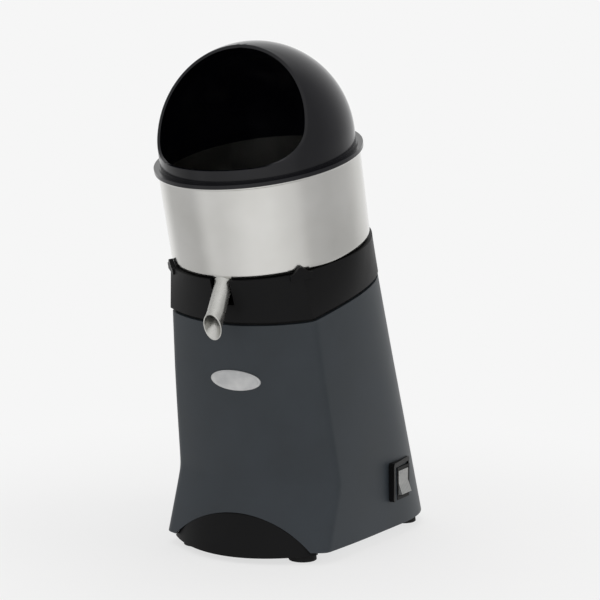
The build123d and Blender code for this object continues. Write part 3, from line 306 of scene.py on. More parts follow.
def finish_piece(
    mesh: bpy.types.Mesh,
    label: Label,
    finishes: tuple[bpy.types.Material, ...],
    sharp_deg: float,
    easing: Easing | None,
    weld: float,
    flatten_deg: float = 0.0,
) -> None:
    """Welds a mesh, turns its faces outwards, shades it smooth and puts it on its body.

    Args:
        mesh: the mesh, with its places in it.
        label: the piece's label.
        finishes: its materials.
        sharp_deg: edges that turn by more than this stay sharp.
        easing: how its hard edges are eased, if they are.
        weld: how near points are welded, in metres.
        flatten_deg: faces that turn by less than this are joined into one, none if 0.
    """
    shape = bmesh.new()
    shape.from_mesh(mesh)
    bmesh.ops.remove_doubles(shape, verts=shape.verts, dist=weld)
    if flatten_deg:
        limit = math.radians(flatten_deg)
        bmesh.ops.dissolve_limit(shape, angle_limit=limit, verts=shape.verts, edges=shape.edges)
    bmesh.ops.recalc_face_normals(shape, faces=shape.faces)
    shape.to_mesh(mesh)
    shape.free()
    if mesh.attributes.get("custom_normal"):
        mesh.attributes.remove(mesh.attributes["custom_normal"])
    mesh.polygons.foreach_set("use_smooth", np.ones(len(mesh.polygons), bool))
    mesh.set_sharp_from_angle(angle=math.radians(sharp_deg))
    mesh.materials.clear()
    for finish in finishes:
        mesh.materials.append(finish)
    piece = bpy.data.objects.new(label.name, mesh)
    bpy.context.scene.collection.objects.link(piece)
    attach(piece, label.body.value)
    LOG.info("%s: %d faces on %s", label.name, len(mesh.polygons), label.body.value)
    if easing:
        easing.put_on(piece)
    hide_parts(label.node)


def eased_copy(
    label: Label,
    finish: bpy.types.Material,
    ease_mm: float = 0.3,
    reshape: Callable[[np.ndarray], np.ndarray] | None = None,
) -> None:
    """Builds a merged copy of a CAD piece with its hard edges eased, standing for that piece.

    Args:
        label: the piece's label, whose node is the CAD piece.
        finish: its material.
        ease_mm: how far each edge is eased.
        reshape: a function that moves its points, given in metres.
    """
    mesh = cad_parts[label.node].data.copy()
    if reshape:
        flat = np.empty(3 * len(mesh.vertices), np.float32)
        mesh.vertices.foreach_get("co", flat)
        mesh.vertices.foreach_set("co", reshape(flat.reshape(-1, 3)).ravel())
    finish_piece(mesh, label, (finish,), COPY_SHARP_DEG, Easing(ease_mm), COPY_WELD, COPY_FLAT_DEG)


def dress(names: str, material: bpy.types.Material) -> None:
    """Gives CAD pieces that stay a material.

    Args:
        names: the pieces' names, with spaces between.
        material: the material.
    """
    for name in names.split():
        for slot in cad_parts[name].material_slots:
            slot.link = "OBJECT"
            slot.material = material


# ---------------------------------------------------------------- finishes
def srgb(code: str) -> tuple[float, float, float, float]:
    """The linear colour of an sRGB hex code."""
    parts = [int(code[k : k + 2], 16) / 255 for k in (1, 3, 5)]
    return (*(c / 12.92 if c <= 0.04045 else ((c + 0.055) / 1.055) ** 2.4 for c in parts), 1.0)


BACKDROP, PAPER, RUBBED = srgb("#f6f6f6"), srgb("#f2f2f2"), srgb("#8c8f92")


def fresh_tree(owner: bpy.types.Material | bpy.types.World) -> bpy.types.NodeTree:
    """Empties the nodes of a material or world.

    Args:
        owner: the material or world.

    Returns:
        Its node tree.
    """
    owner.use_nodes = True
    owner.node_tree.nodes.clear()
    return owner.node_tree


def add_node(
    tree: bpy.types.NodeTree, kind: str, inputs: dict[str | int, object] | None = None, **settings: object
) -> bpy.types.Node:
    """Adds a node with its settings and links.

    Args:
        tree: the node tree.
        kind: the node's type, without the words that all types begin with.
        inputs: by name or number, a value, another node's output, or a node for its first output.
        settings: the node's own settings.

    Returns:
        The node.
    """
    node = tree.nodes.new("ShaderNode" + kind)
    for name, value in settings.items():
        setattr(node, name, value)
    for name, value in (inputs or {}).items():
        source = value.outputs[0] if isinstance(value, bpy.types.Node) else value
        if isinstance(source, bpy.types.NodeSocket):
            tree.links.new(source, node.inputs[name])
        else:
            node.inputs[name].default_value = source
    return node


@dataclass(frozen=True)
class Finish:
    """A real finish: two close shades in soft clouds, a gloss that varies and a fine relief."""

    name: str
    dark: str
    light: str
    gloss: tuple[float, float]
    relief: Relief = Relief.GRAIN
    relief_mm: float = 1.0
    depth_mm: float = 0.02
    cloud_mm: float = 40.0
    speckle: float = 0.0
    edge_wear: float = 0.0
    metallic: float = 0.0
    specular: float = 0.5
    coat: float = 0.0
    anisotropy: float = 0.0
    lines: float = 0.0
    stretch: tuple[float, float, float] = (1.0, 1.0, 1.0)
    on_lengths: bool = False

    def patterns(self, tree: bpy.types.NodeTree) -> tuple[bpy.types.NodeSocket, bpy.types.Node]:
        """Adds the fine relief and the soft clouds, both scaled by real lengths.

        Args:
            tree: the material's nodes.

        Returns:
            The relief's height, and the clouds with the relief's speckle added.
        """
        place = add_node(tree, "TexCoord").outputs["UV" if self.on_lengths else "Object"]
        upright = place
        if not self.on_lengths:
            lean = (-math.radians(PRESS.lean_deg), 0.0, 0.0)
            upright = add_node(tree, "Mapping", {"Vector": place, "Rotation": lean})
        spread = add_node(tree, "Mapping", {"Vector": upright, "Scale": self.stretch})
        clouds = add_node(
            tree, "TexNoise", {"Vector": place, "Scale": 1 / (self.cloud_mm * MM), "Detail": 4.0}
        )
        kind, outlet, shaping = self.relief.value
        scale = {"Vector": spread, "Scale": 1 / (self.relief_mm * MM)}
        fine = add_node(tree, kind, {**scale, **shaping}).outputs[outlet]
        soft = add_node(tree, "MapRange", {"Value": clouds, "From Min": 0.3, "From Max": 0.7})
        return fine, add_node(tree, "Math", {0: fine, 1: self.speckle, 2: soft}, operation="MULTIPLY_ADD")

    def material(self) -> bpy.types.Material:
        """The finish as a node material.

        Returns:
            The material.
        """
        made = bpy.data.materials.new(self.name)
        tree = fresh_tree(made)
        fine, grainy = self.patterns(tree)
        centred = add_node(
            tree, "Math", {0: grainy, 1: 0.5 * self.speckle}, operation="SUBTRACT", use_clamp=True
        )
        shades = {0: centred, 6: srgb(self.dark), 7: srgb(self.light)}
        colour = add_node(tree, "Mix", shades, data_type="RGBA").outputs[2]
        if self.edge_wear:
            colour = self.worn(tree, colour)
        low, high = self.gloss
        spread = {"Value": grainy, "From Max": 1 + self.speckle, "To Min": low, "To Max": high}
        shader = add_node(tree, "BsdfPrincipled", {
            "Base Color": colour,
            "Roughness": add_node(tree, "MapRange", spread),
            "Metallic": self.metallic,
            "Specular IOR Level": self.specular,
            "Coat Weight": self.coat,
            "Coat Roughness": 0.08,
            "Anisotropic": self.anisotropy,
            "Anisotropic Rotation": self.lines,
            "Normal": add_node(
                tree, "Bump", {"Strength": 1.0, "Distance": self.depth_mm * MM, "Height": fine}
            ).outputs[0],
        })
        if self.anisotropy:
            way = add_node(tree, "Tangent", direction_type="UV_MAP", uv_map="lengths")
            tree.links.new(way.outputs[0], shader.inputs["Tangent"])
        add_node(tree, "OutputMaterial", {"Surface": shader})
        return made

    def worn(self, tree: bpy.types.NodeTree, colour: bpy.types.NodeSocket) -> bpy.types.NodeSocket:
        """Lightens the colour along outward edges, where handling rubs it.

        Args:
            tree: the material's nodes.
            colour: the colour before wear.

        Returns:
            The colour with worn edges.
        """
        point = add_node(tree, "NewGeometry").outputs["Pointiness"]
        span = {"Value": point, "From Min": 0.52, "From Max": 0.6, "To Max": self.edge_wear}
        edge = add_node(tree, "MapRange", span)
        return add_node(tree, "Mix", {0: edge, 6: colour, 7: RUBBED}, data_type="RGBA").outputs[2]


# A grain finer than a millimetre wouldn't show, so it is drawn one to two millimetres wide.

# Sand-textured paint, sprayed and stoved: slate grey with a fine dry sparkle.
PAINT = Finish(
    "slate_sand_paint_sprayed", "#282e33", "#30363c", (0.42, 0.55), relief_mm=1.9, depth_mm=0.03,
    cloud_mm=60.0, speckle=0.5, edge_wear=0.12, specular=0.36,
)
# Polished moulding with a faint long ripple, blue-black and deep.
GLOSS_BLACK = Finish(
    "blue_black_plastic_polished", "#07070d", "#0b0b12", (0.12, 0.2), relief_mm=22.0, depth_mm=0.04,
    cloud_mm=35.0, specular=0.33,
)
# The same plastic on the guard's inside, matt, and drawn darker than the outside as painted shade.
PAINTED_SHADE_BLACK = Finish(
    "black_plastic_matt_painted_shade", "#020203", "#040405", (0.6, 0.75), relief_mm=1.6, specular=0.15,
)
# Satin spin-brushed stainless sheet: fine lines run round the wall and draw the lights out upright.
STEEL = Finish(
    "stainless_sheet_spin_brushed", "#c8c7c3", "#d2d1ce", (0.17, 0.23), relief=Relief.STREAK, relief_mm=1.2,
    depth_mm=0.001, cloud_mm=60.0, speckle=0.3, metallic=1.0, anisotropy=0.6, lines=0.25,
    stretch=(0.004, 1.0, 1.0), on_lengths=True,
)
# Tube drawn and polished along its length.
TUBE_STEEL = Finish(
    "stainless_tube_polished", "#babab6", "#cbcac6", (0.22, 0.32), relief=Relief.STREAK, depth_mm=0.002,
    cloud_mm=18.0, speckle=0.3, metallic=0.9, anisotropy=0.35, stretch=(1.0, 0.05, 1.0), on_lengths=True,
)
# Fine-grained black moulding with a low sheen.
SATIN_BLACK = Finish(
    "black_plastic_fine_grain", "#0b0b0c", "#101011", (0.38, 0.5), relief=Relief.PEBBLE, relief_mm=1.5,
    cloud_mm=50.0, speckle=0.15, specular=0.12,
)
# Smooth food-safe moulding, near black.
SQUEEZER_BLACK = Finish(
    "black_food_plastic_moulded", "#060607", "#0a0a0b", (0.3, 0.42), relief_mm=2.0, depth_mm=0.01,
)
# Plain mid-grey moulding, dull from the fingers.
ROCKER_GREY = Finish(
    "grey_plastic_moulded", "#909292", "#a2a3a2", (0.4, 0.5), relief_mm=1.2, depth_mm=0.015, cloud_mm=12.0,
)
# Pale cream moulding of the mains terminals.
PALE_PLASTIC = Finish(
    "pale_plastic_moulded", "#c9c4b4", "#d8d4c6", (0.4, 0.52), relief_mm=1.5, depth_mm=0.01, cloud_mm=15.0,
)
# Drawn can of white plastic with a soft shine.
CAPACITOR_CASE = Finish(
    "white_plastic_can_drawn", "#c4c5c4", "#d4d5d3", (0.3, 0.42), relief_mm=3.0, depth_mm=0.01,
)
# Black rubber with the dull bloom of a moulded foot.
RUBBER = Finish(
    "black_rubber_moulded", "#0b0b0b", "#141414", (0.7, 0.85), relief_mm=1.4, depth_mm=0.03, cloud_mm=10.0,
    speckle=0.3, specular=0.3,
)
# Pearled silver plate, fine lines along its length.
BADGE = Finish(
    "silver_plate_fine_brushed", "#b4b5b6", "#cfcfce", (0.3, 0.42), relief=Relief.STREAK, relief_mm=1.2,
    depth_mm=0.004, cloud_mm=14.0, speckle=0.4, metallic=0.55, stretch=(0.06, 1.0, 1.0),
)
# Sand-cast aluminium: grey and open-grained.
CAST = Finish(
    "aluminium_sand_cast", "#8b8c8b", "#a5a6a4", (0.45, 0.62), relief_mm=2.2, depth_mm=0.08, cloud_mm=25.0,
    speckle=0.5, metallic=1.0,
)
# Hot-dip zinc: frosty patches a few millimetres across.
ZINC = Finish(
    "zinc_coated_sheet", "#9b9fa1", "#b9bcbd", (0.34, 0.5), relief=Relief.PEBBLE, relief_mm=7.0,
    depth_mm=0.006, cloud_mm=12.0, speckle=0.6, metallic=1.0,
)
# Steel deep in the spout, drawn near black with no gloss: painted shade, so it gives nothing back through
# the mouth.
SHADED_STEEL = Finish(
    "stainless_sheet_bore_painted_shade", "#0a0a0a", "#111110", (0.5, 0.65), relief=Relief.STREAK, relief_mm=1.5,
    depth_mm=0.01, cloud_mm=12.0, speckle=0.3, specular=0.0,
)
# Bowl's inner face and strainer: the same steel drawn darker, painted shade under the guard.
INSIDE_SHADE_STEEL = Finish(
    "stainless_sheet_painted_shade", "#474744", "#535350", (0.24, 0.34), relief=Relief.STREAK, relief_mm=1.4,
    depth_mm=0.004, cloud_mm=20.0, speckle=0.3, metallic=1.0,
)
# Turned and ground steel of the shaft, bearings and screws.
PLAIN_STEEL = Finish(
    "plain_steel_turned", "#9c9d9e", "#b5b6b6", (0.26, 0.38), relief=Relief.STREAK, depth_mm=0.01,
    cloud_mm=10.0, speckle=0.3, metallic=1.0,
)
# Stacked core sheets: thin bands square to the shaft, drawn coarser than real ones so that they show.
CORE = Finish(
    "core_sheets_stacked", "#4a4b4d", "#7c7d7f", (0.4, 0.6), relief=Relief.SHEETS, relief_mm=2.5,
    depth_mm=0.05, cloud_mm=20.0, speckle=0.7, metallic=1.0, stretch=(0.02, 0.02, 1.0),
)
# Lacquered copper turns lying side by side.
COPPER = Finish(
    "copper_wire_lacquered", "#8a4318", "#b8682c", (0.22, 0.36), relief=Relief.STREAK, relief_mm=1.2,
    depth_mm=0.15, cloud_mm=12.0, speckle=0.7, metallic=0.9, coat=0.5, stretch=(1.0, 1.0, 0.12),
)

# The CAD pieces that stay, mostly inside the housing, by their finish.
HIDDEN = (
    (PLAIN_STEEL, "collar_screws plinth_screws foot_screws inlet_screws tie_bolts motor_screws "
                  "upper_bearing lower_bearing motor_shaft drive_pin"),
    (RUBBER, "collar_gasket shaft_seal slinger_ring"),
    (CAST, "upper_end_bell lower_end_bell drive_hub"),
    (ZINC, "base_plate capacitor_clamp"),
    (CORE, "stator_core rotor_core"),
    (COPPER, "stator_windings"),
    (CAPACITOR_CASE, "capacitor"),
    (PALE_PLASTIC, "terminal_block cooling_fan"),
)


# ---------------------------------------------------------------- splash guard
@dataclass
class SplashGuard:
    """The domed guard: a ball on a short wall, cut open in front, with a flange and a spigot below.

    The skirt's section is (radius, height) from the wall outside, by the step, the flange's lip and
    the spigot, to the wall inside. With the wall's top at both its ends, the last five points are
    on the inner face.
    """

    finish: bpy.types.Material
    inside: bpy.types.Material
    radius: float = 94.0
    wall: float = 2.6
    centre: float = 15.5
    sill: float = 14.6
    slope_deg: float = 62.0
    slope_foot: float = -54.0
    corner: float = 50.0
    section: tuple[tuple[float, float], ...] = (
        (94.0, 7.0), (94.0, 4.2), (95.6, 4.2), (95.6, 2.9), (100.5, 2.9), (100.5, -0.9), (99.6, -0.9),
        (99.6, 0.3), (95.4, 0.3), (95.4, -8.0), (93.0, -8.0), (93.0, 0.3), (91.4, 0.3), (91.4, 5.0),
    )
    inner_points: int = 5
    steps: int = 48
    closed_rows: int = 39
    edge_rows: int = 4
    open_rows: int = 72
    crowding: float = 1.6
    arc_rows: int = 8
    sill_rows: int = 24
    lip_share: tuple[float, ...] = (0.0, 1 / 3, 2 / 3, 1.0)

    def slope_off(self) -> float:
        """How far the slope's plane passes from the ball's middle."""
        slope = math.radians(self.slope_deg)
        return -self.slope_foot * math.sin(slope) - (self.centre - self.sill) * math.cos(slope)

    def mouth(self, turn: np.ndarray) -> np.ndarray:
        """How far the mouth's edge is from the ball's middle, seen from the side.

        The edge is a level sill and a slope with one arc between them. A line from the middle meets
        the slope at its distance over the cosine between them, and the arc where the line enters it.

        Args:
            turn: directions, turned from the rear over the top to the front.

        Returns:
            The distance along each direction.
        """
        slope = math.radians(self.slope_deg)
        reach = self.corner * math.tan(slope / 2)
        line = self.slope_off() / np.maximum(np.cos(turn - (math.pi / 2 + slope)), 1e-3)
        middle = np.array([self.slope_foot - reach, self.sill + self.corner - self.centre])
        along = middle[0] * np.cos(turn) + middle[1] * np.sin(turn)
        arc = along - np.sqrt(np.maximum(along**2 - middle @ middle + self.corner**2, 0))
        end_up = self.sill - self.centre + reach * math.sin(slope)
        end = math.atan2(end_up, self.slope_foot + reach * math.cos(slope))
        return np.where(turn > end, arc, line)

    def opening(self, radius: np.ndarray) -> np.ndarray:
        """The direction in which the mouth's slope leaves a ball of a radius."""
        return math.pi / 2 + math.radians(self.slope_deg) - np.arccos(self.slope_off() / radius)

    def reach(self, radius: np.ndarray, turn: np.ndarray) -> np.ndarray:
        """How far round the ball's side-to-side axis each slice runs before the mouth, in radians."""
        cut = np.arcsin(np.minimum(self.mouth(turn) / radius, 1.0))
        return np.where(turn < self.opening(radius), math.pi / 2, cut)

    def ball(self, shell: Surface) -> None:
        """Adds the ball's two faces and the lip between them, in slices round the side-to-side axis.

        In a slice, x is the radius times the cosine of q, and the distance from the axis its sine.

        Args:
            shell: the surface that takes them.
        """
        radii = (self.radius, self.radius - self.wall)
        first, second = (self.opening(r) for r in radii)
        turn = np.concatenate([
            np.linspace(0, first, self.closed_rows, endpoint=False),
            np.linspace(first, second, self.edge_rows, endpoint=False),
            second + (math.pi - second) * np.linspace(0, 1, self.open_rows) ** self.crowding,
        ])
        edges = []
        for slot, radius in enumerate(radii):
            q = self.reach(radius, turn)[:, None] * np.linspace(0, 1, self.steps + 1)
            x, off = radius * np.cos(q), radius * np.sin(q)
            across, up = off * np.cos(turn)[:, None], self.centre + off * np.sin(turn)[:, None]
            edges.append(np.stack([x, across, up])[:, self.closed_rows :, -1:])
            for side in (-1, 1):
                shell.add(PRESS.world(side * x, across, up), slot=slot)
        x, across, up = edges[0] + (edges[1] - edges[0]) * np.array(self.lip_share)
        for side in (-1, 1):
            shell.add(PRESS.world(side * x, across, up))

    def rings(self) -> tuple[np.ndarray, np.ndarray, np.ndarray]:
        """Directions round the press axis for the wall's outer and inner face, and the wall's top there.

        Returns:
            Outer directions, inner directions (0 is the front) and heights, from the rear to the front.
        """
        share = np.linspace(0, 1, self.steps + 1)
        radii = np.array([self.radius, self.radius - self.wall])[:, None]
        rear = np.broadcast_to(math.pi / 2 + share[::-1] * math.pi / 2, (2, share.size))
        level = np.array([math.pi])
        sides = math.pi / 2 - share[1:] * self.reach(radii, level)
        low = -self.slope_foot + self.corner * math.tan(math.radians(self.slope_deg) / 2)
        out = np.linspace(self.mouth(level)[0], low, self.arc_rows + 1)[1:]
        arc_up = self.sill + self.corner - np.sqrt(self.corner**2 - (low - out) ** 2)
        bend = np.arccos(out / radii)
        flat = bend[:, -1:] * np.linspace(1, 0, self.sill_rows + 1)[1:]
        wall_top = np.full(rear.shape[1] + sides.shape[1], self.centre)
        top = np.concatenate([wall_top, arc_up, np.full(self.sill_rows, self.sill)])
        return *np.concatenate([rear, sides, bend, flat], 1), top

    def skirt(self, shell: Surface) -> None:
        """Adds the wall under the ball with its step, flange and spigot, and the sill's lip.

        The section is carried round the rings, and its first and last point follow the wall's top.

        Args:
            shell: the surface that takes them.
        """
        outer, inner, top = self.rings()
        section = np.array([(self.radius, 0.0), *self.section, (self.radius - self.wall, 0.0)])
        turned_in = len(section) - self.inner_points
        up = np.tile(section[:, 1], (top.size, 1))
        up[:, [0, -1]] = top[:, None]
        directions = np.where(np.arange(len(section)) < turned_in, outer[:, None], inner[:, None])
        for side in (-1, 1):
            grid = PRESS.ring(section[:, 0], side * directions, up)
            shell.add(grid[:, : turned_in + 1])
            shell.add(grid[:, turned_in:], slot=1)
            edge = grid[None, 2 * self.steps + 1 :]
            share = np.array(self.lip_share)[:, None, None]
            shell.add(edge[:, :, 0] + (edge[:, :, -1] - edge[:, :, 0]) * share)

    def build(self) -> None:
        """Builds the guard."""
        shell = Surface()
        self.ball(shell)
        self.skirt(shell)
        label = Label("splash_guard_dome", Body.GUARD, "splash_guard", "black_gloss")
        # The inner faces take the second finish, the plastic drawn darker as painted shade.
        shell.build(label, self.finish, self.inside, easing=Easing(0.5))


# ---------------------------------------------------------------- bowl and spout
@dataclass
class JuiceBowl:
    """The sheet-steel bowl with its rolled rim and middle chimney."""

    finish: bpy.types.Material
    inside: bpy.types.Material
    radius: float = 97.0
    taper: float = 0.4
    depth: float = 92.3
    wall: float = 1.0
    corner: float = 8.0
    bead: float = 1.6
    bead_foot: float = -3.1
    bead_turn: tuple[float, float] = (-108.0, 170.0)
    chimney: float = 15.5
    chimney_top: float = -64.0
    chimney_root: float = 2.0
    chimney_edge: float = 0.4
    sides: int = 256

    def profile(self) -> np.ndarray:
        """The bowl's section: the floor and wall outside, round the bead, and back down inside.

        Returns:
            The (radius, height) points.
        """
        foot, bead_at = self.radius - self.taper, self.radius - self.wall + self.bead
        body = rounded([
            (self.chimney - self.wall, -self.depth, 0),
            (foot, -self.depth, self.corner),
            (self.radius, self.bead_foot, 0),
            (self.radius - self.wall, -self.bead, 0),
            (foot - self.wall, self.wall - self.depth, self.corner - self.wall),
            (self.chimney, self.wall - self.depth, self.chimney_root),
            (self.chimney, self.chimney_top, self.chimney_edge),
            (self.chimney - self.wall, self.chimney_top, self.chimney_edge),
        ], steps=14)
        turn = np.radians(np.linspace(*self.bead_turn, 18))
        bead = np.stack([bead_at + self.bead * np.cos(turn), -self.bead + self.bead * np.sin(turn)], -1)
        crest = int(np.argmax(body[:, 1] >= self.bead_foot))
        outer = np.linspace(body[crest - 1], body[crest], 12)[1:]
        inner = np.linspace(body[crest + 1], body[crest + 2], 12)[:-1]
        return np.concatenate([body[:crest], outer, bead, inner, body[crest + 2 :]])

    def build(self) -> None:
        """Builds the bowl, its section turned round the press axis and split at its crest."""
        shell = Surface()
        profile = self.profile()
        crest = int(np.argmax(profile[:, 1]))
        shell.turn(profile[: crest + 1], PRESS, self.sides)
        # Its inside takes the second finish, the steel drawn darker as painted shade.
        shell.turn(profile[crest:], PRESS, self.sides, slot=1)
        label = Label("juice_bowl_spun", Body.BOWL, "juice_bowl", "bowl_steel")
        shell.build(label, self.finish, self.inside, sharp_deg=50.0)

    def outside(self, spots: np.ndarray) -> np.ndarray:
        """How far places are outside the bowl's skin near its lower corner, in millimetres.

        Args:
            spots: places in metres.

        Returns:
            The distance to the skin, negative inside.
        """
        lean = math.radians(PRESS.lean_deg)
        away = spots / MM - np.array(PRESS.origin)
        across = away[..., 1] * math.cos(lean) + away[..., 2] * math.sin(lean)
        up = away[..., 2] * math.cos(lean) - away[..., 1] * math.sin(lean)
        off = np.hypot(away[..., 0], across) - (self.radius - self.taper - self.corner)
        drop = -(up + self.depth - self.corner)
        round_part = np.hypot(np.maximum(off, 0), np.maximum(drop, 0)) - self.corner
        return np.where((off > 0) | (drop > 0), round_part, -self.corner)


@dataclass
class SpoutTube:
    """The bent-down outlet tube: slanting mouth with a flared lip, weld bead at its root.

    Its bore is steel by the lip, furthest along its lower side, and painted shade above, drawn near
    black. The bead's points are (radius, length up from the root), and the edge's are (radius, length)
    added to the lip's.
    """

    finish: bpy.types.Material
    bore: bpy.types.Material
    bowl: JuiceBowl
    radius: float = 8.6
    wall: float = 1.0
    lip: float = 9.6
    lip_length: float = 7.0
    straight: float = 4.2
    flare: float = 1.6
    cut_deg: float = 17.5
    bead: tuple[tuple[float, float], ...] = (
        (8.6, -7.0), (8.63, -5.0), (8.72, -3.8), (8.95, -2.6), (9.25, -1.4), (9.4, 0.0), (9.4, 1.5),
    )
    ripple: float = 0.12
    ripples: int = 14
    edge: tuple[tuple[float, float], ...] = ((-0.15, -0.18), (-0.5, -0.3), (-0.85, -0.18))
    bore_past_skin: float = 2.0
    bright: tuple[float, float] = (0.5, 8.0)
    axes: Axes = Axes((0.0, -142.4, 227.4), -28.0)
    root_span: tuple[float, float] = (30.0, 70.0)

    def root(self, turn: np.ndarray, radius: float) -> np.ndarray:
        """Where along the tube its wall meets the bowl, found by halving a span.

        Args:
            turn: directions round the tube.
            radius: the wall's radius.

        Returns:
            The distance up the tube for each direction.
        """
        low, high = (np.full(turn.shape, end) for end in self.root_span)
        for _ in range(30):
            middle = (low + high) / 2
            free = self.bowl.outside(self.axes.ring(radius, turn, middle)) > 0
            low, high = np.where(free, middle, low), np.where(free, high, middle)
        return low

    def build(self) -> None:
        """Builds the tube from radius and length up it, row by row from the weld to the lip and inside.

        Near the mouth, each ring slides along the tube by the cut's slant, so the lip lies in the cut.
        """
        turn = np.linspace(0, 2 * math.pi, 97)
        slant = 1 / math.tan(math.radians(self.cut_deg - self.axes.lean_deg))
        rings = np.concatenate([np.linspace(0, 1, 9), np.linspace(1, self.straight, 10)[1:]])
        lift = rings * self.lip_length
        opened = np.maximum(1 - lift / (self.flare * self.lip_length), 0) ** self.flare
        stay = np.maximum(1 - lift / lift[-1], 0)[:, None]
        walls = []
        for radius in (self.radius, self.radius - self.wall):
            r = (radius + (self.lip - self.radius) * opened)[:, None] * np.ones(turn.size)
            walls.append(np.stack([r, lift[:, None] + slant * r * np.cos(turn) * stay]))
        outer, inner = walls
        bead = np.array(self.bead)
        root = self.root(turn, bead[-1, 0])
        wave = self.ripple * np.sin(turn * self.ripples) * (np.linspace(0, 1, len(bead)) ** 2)[:, None]
        weld = np.stack([bead[:, :1] + wave, root + bead[:, 1:]])
        between_up = np.linspace(outer[1, -1], weld[1, 0], 5)[1:-1]
        between = np.stack([np.full(between_up.shape, self.radius), between_up])
        bore_up = np.linspace(inner[1, -1], root + self.bore_past_skin, 4)[1:]
        bore = np.stack([np.full(bore_up.shape, self.radius - self.wall), bore_up])
        edge = outer[:, :1] + np.array(self.edge).T[:, :, None]
        outside = np.concatenate([weld[:, ::-1], between[:, ::-1], outer[:, ::-1], edge], 1)
        radius, up = np.concatenate([outside, inner, bore], 1)
        deep = np.concatenate([np.full(outside.shape[1], -1.0), lift, np.full(len(bore_up), lift[-1])])
        reach = self.bright[0] + self.bright[1] * np.maximum(-np.cos(turn), 0) ** 3
        # Rows deeper than the reach take the bore's finish, near black as painted shade.
        shade_rows = deep[:-1, None] >= reach[:-1]
        grid = self.axes.ring(radius, turn, up)
        shell = Surface()
        shell.add(grid, keep=~shade_rows)
        shell.add(grid, keep=shade_rows, slot=1)
        label = Label("spout_tube_welded", Body.BOWL, "spout_tube", "bowl_steel")
        shell.build(label, self.finish, self.bore, sharp_deg=70.0)


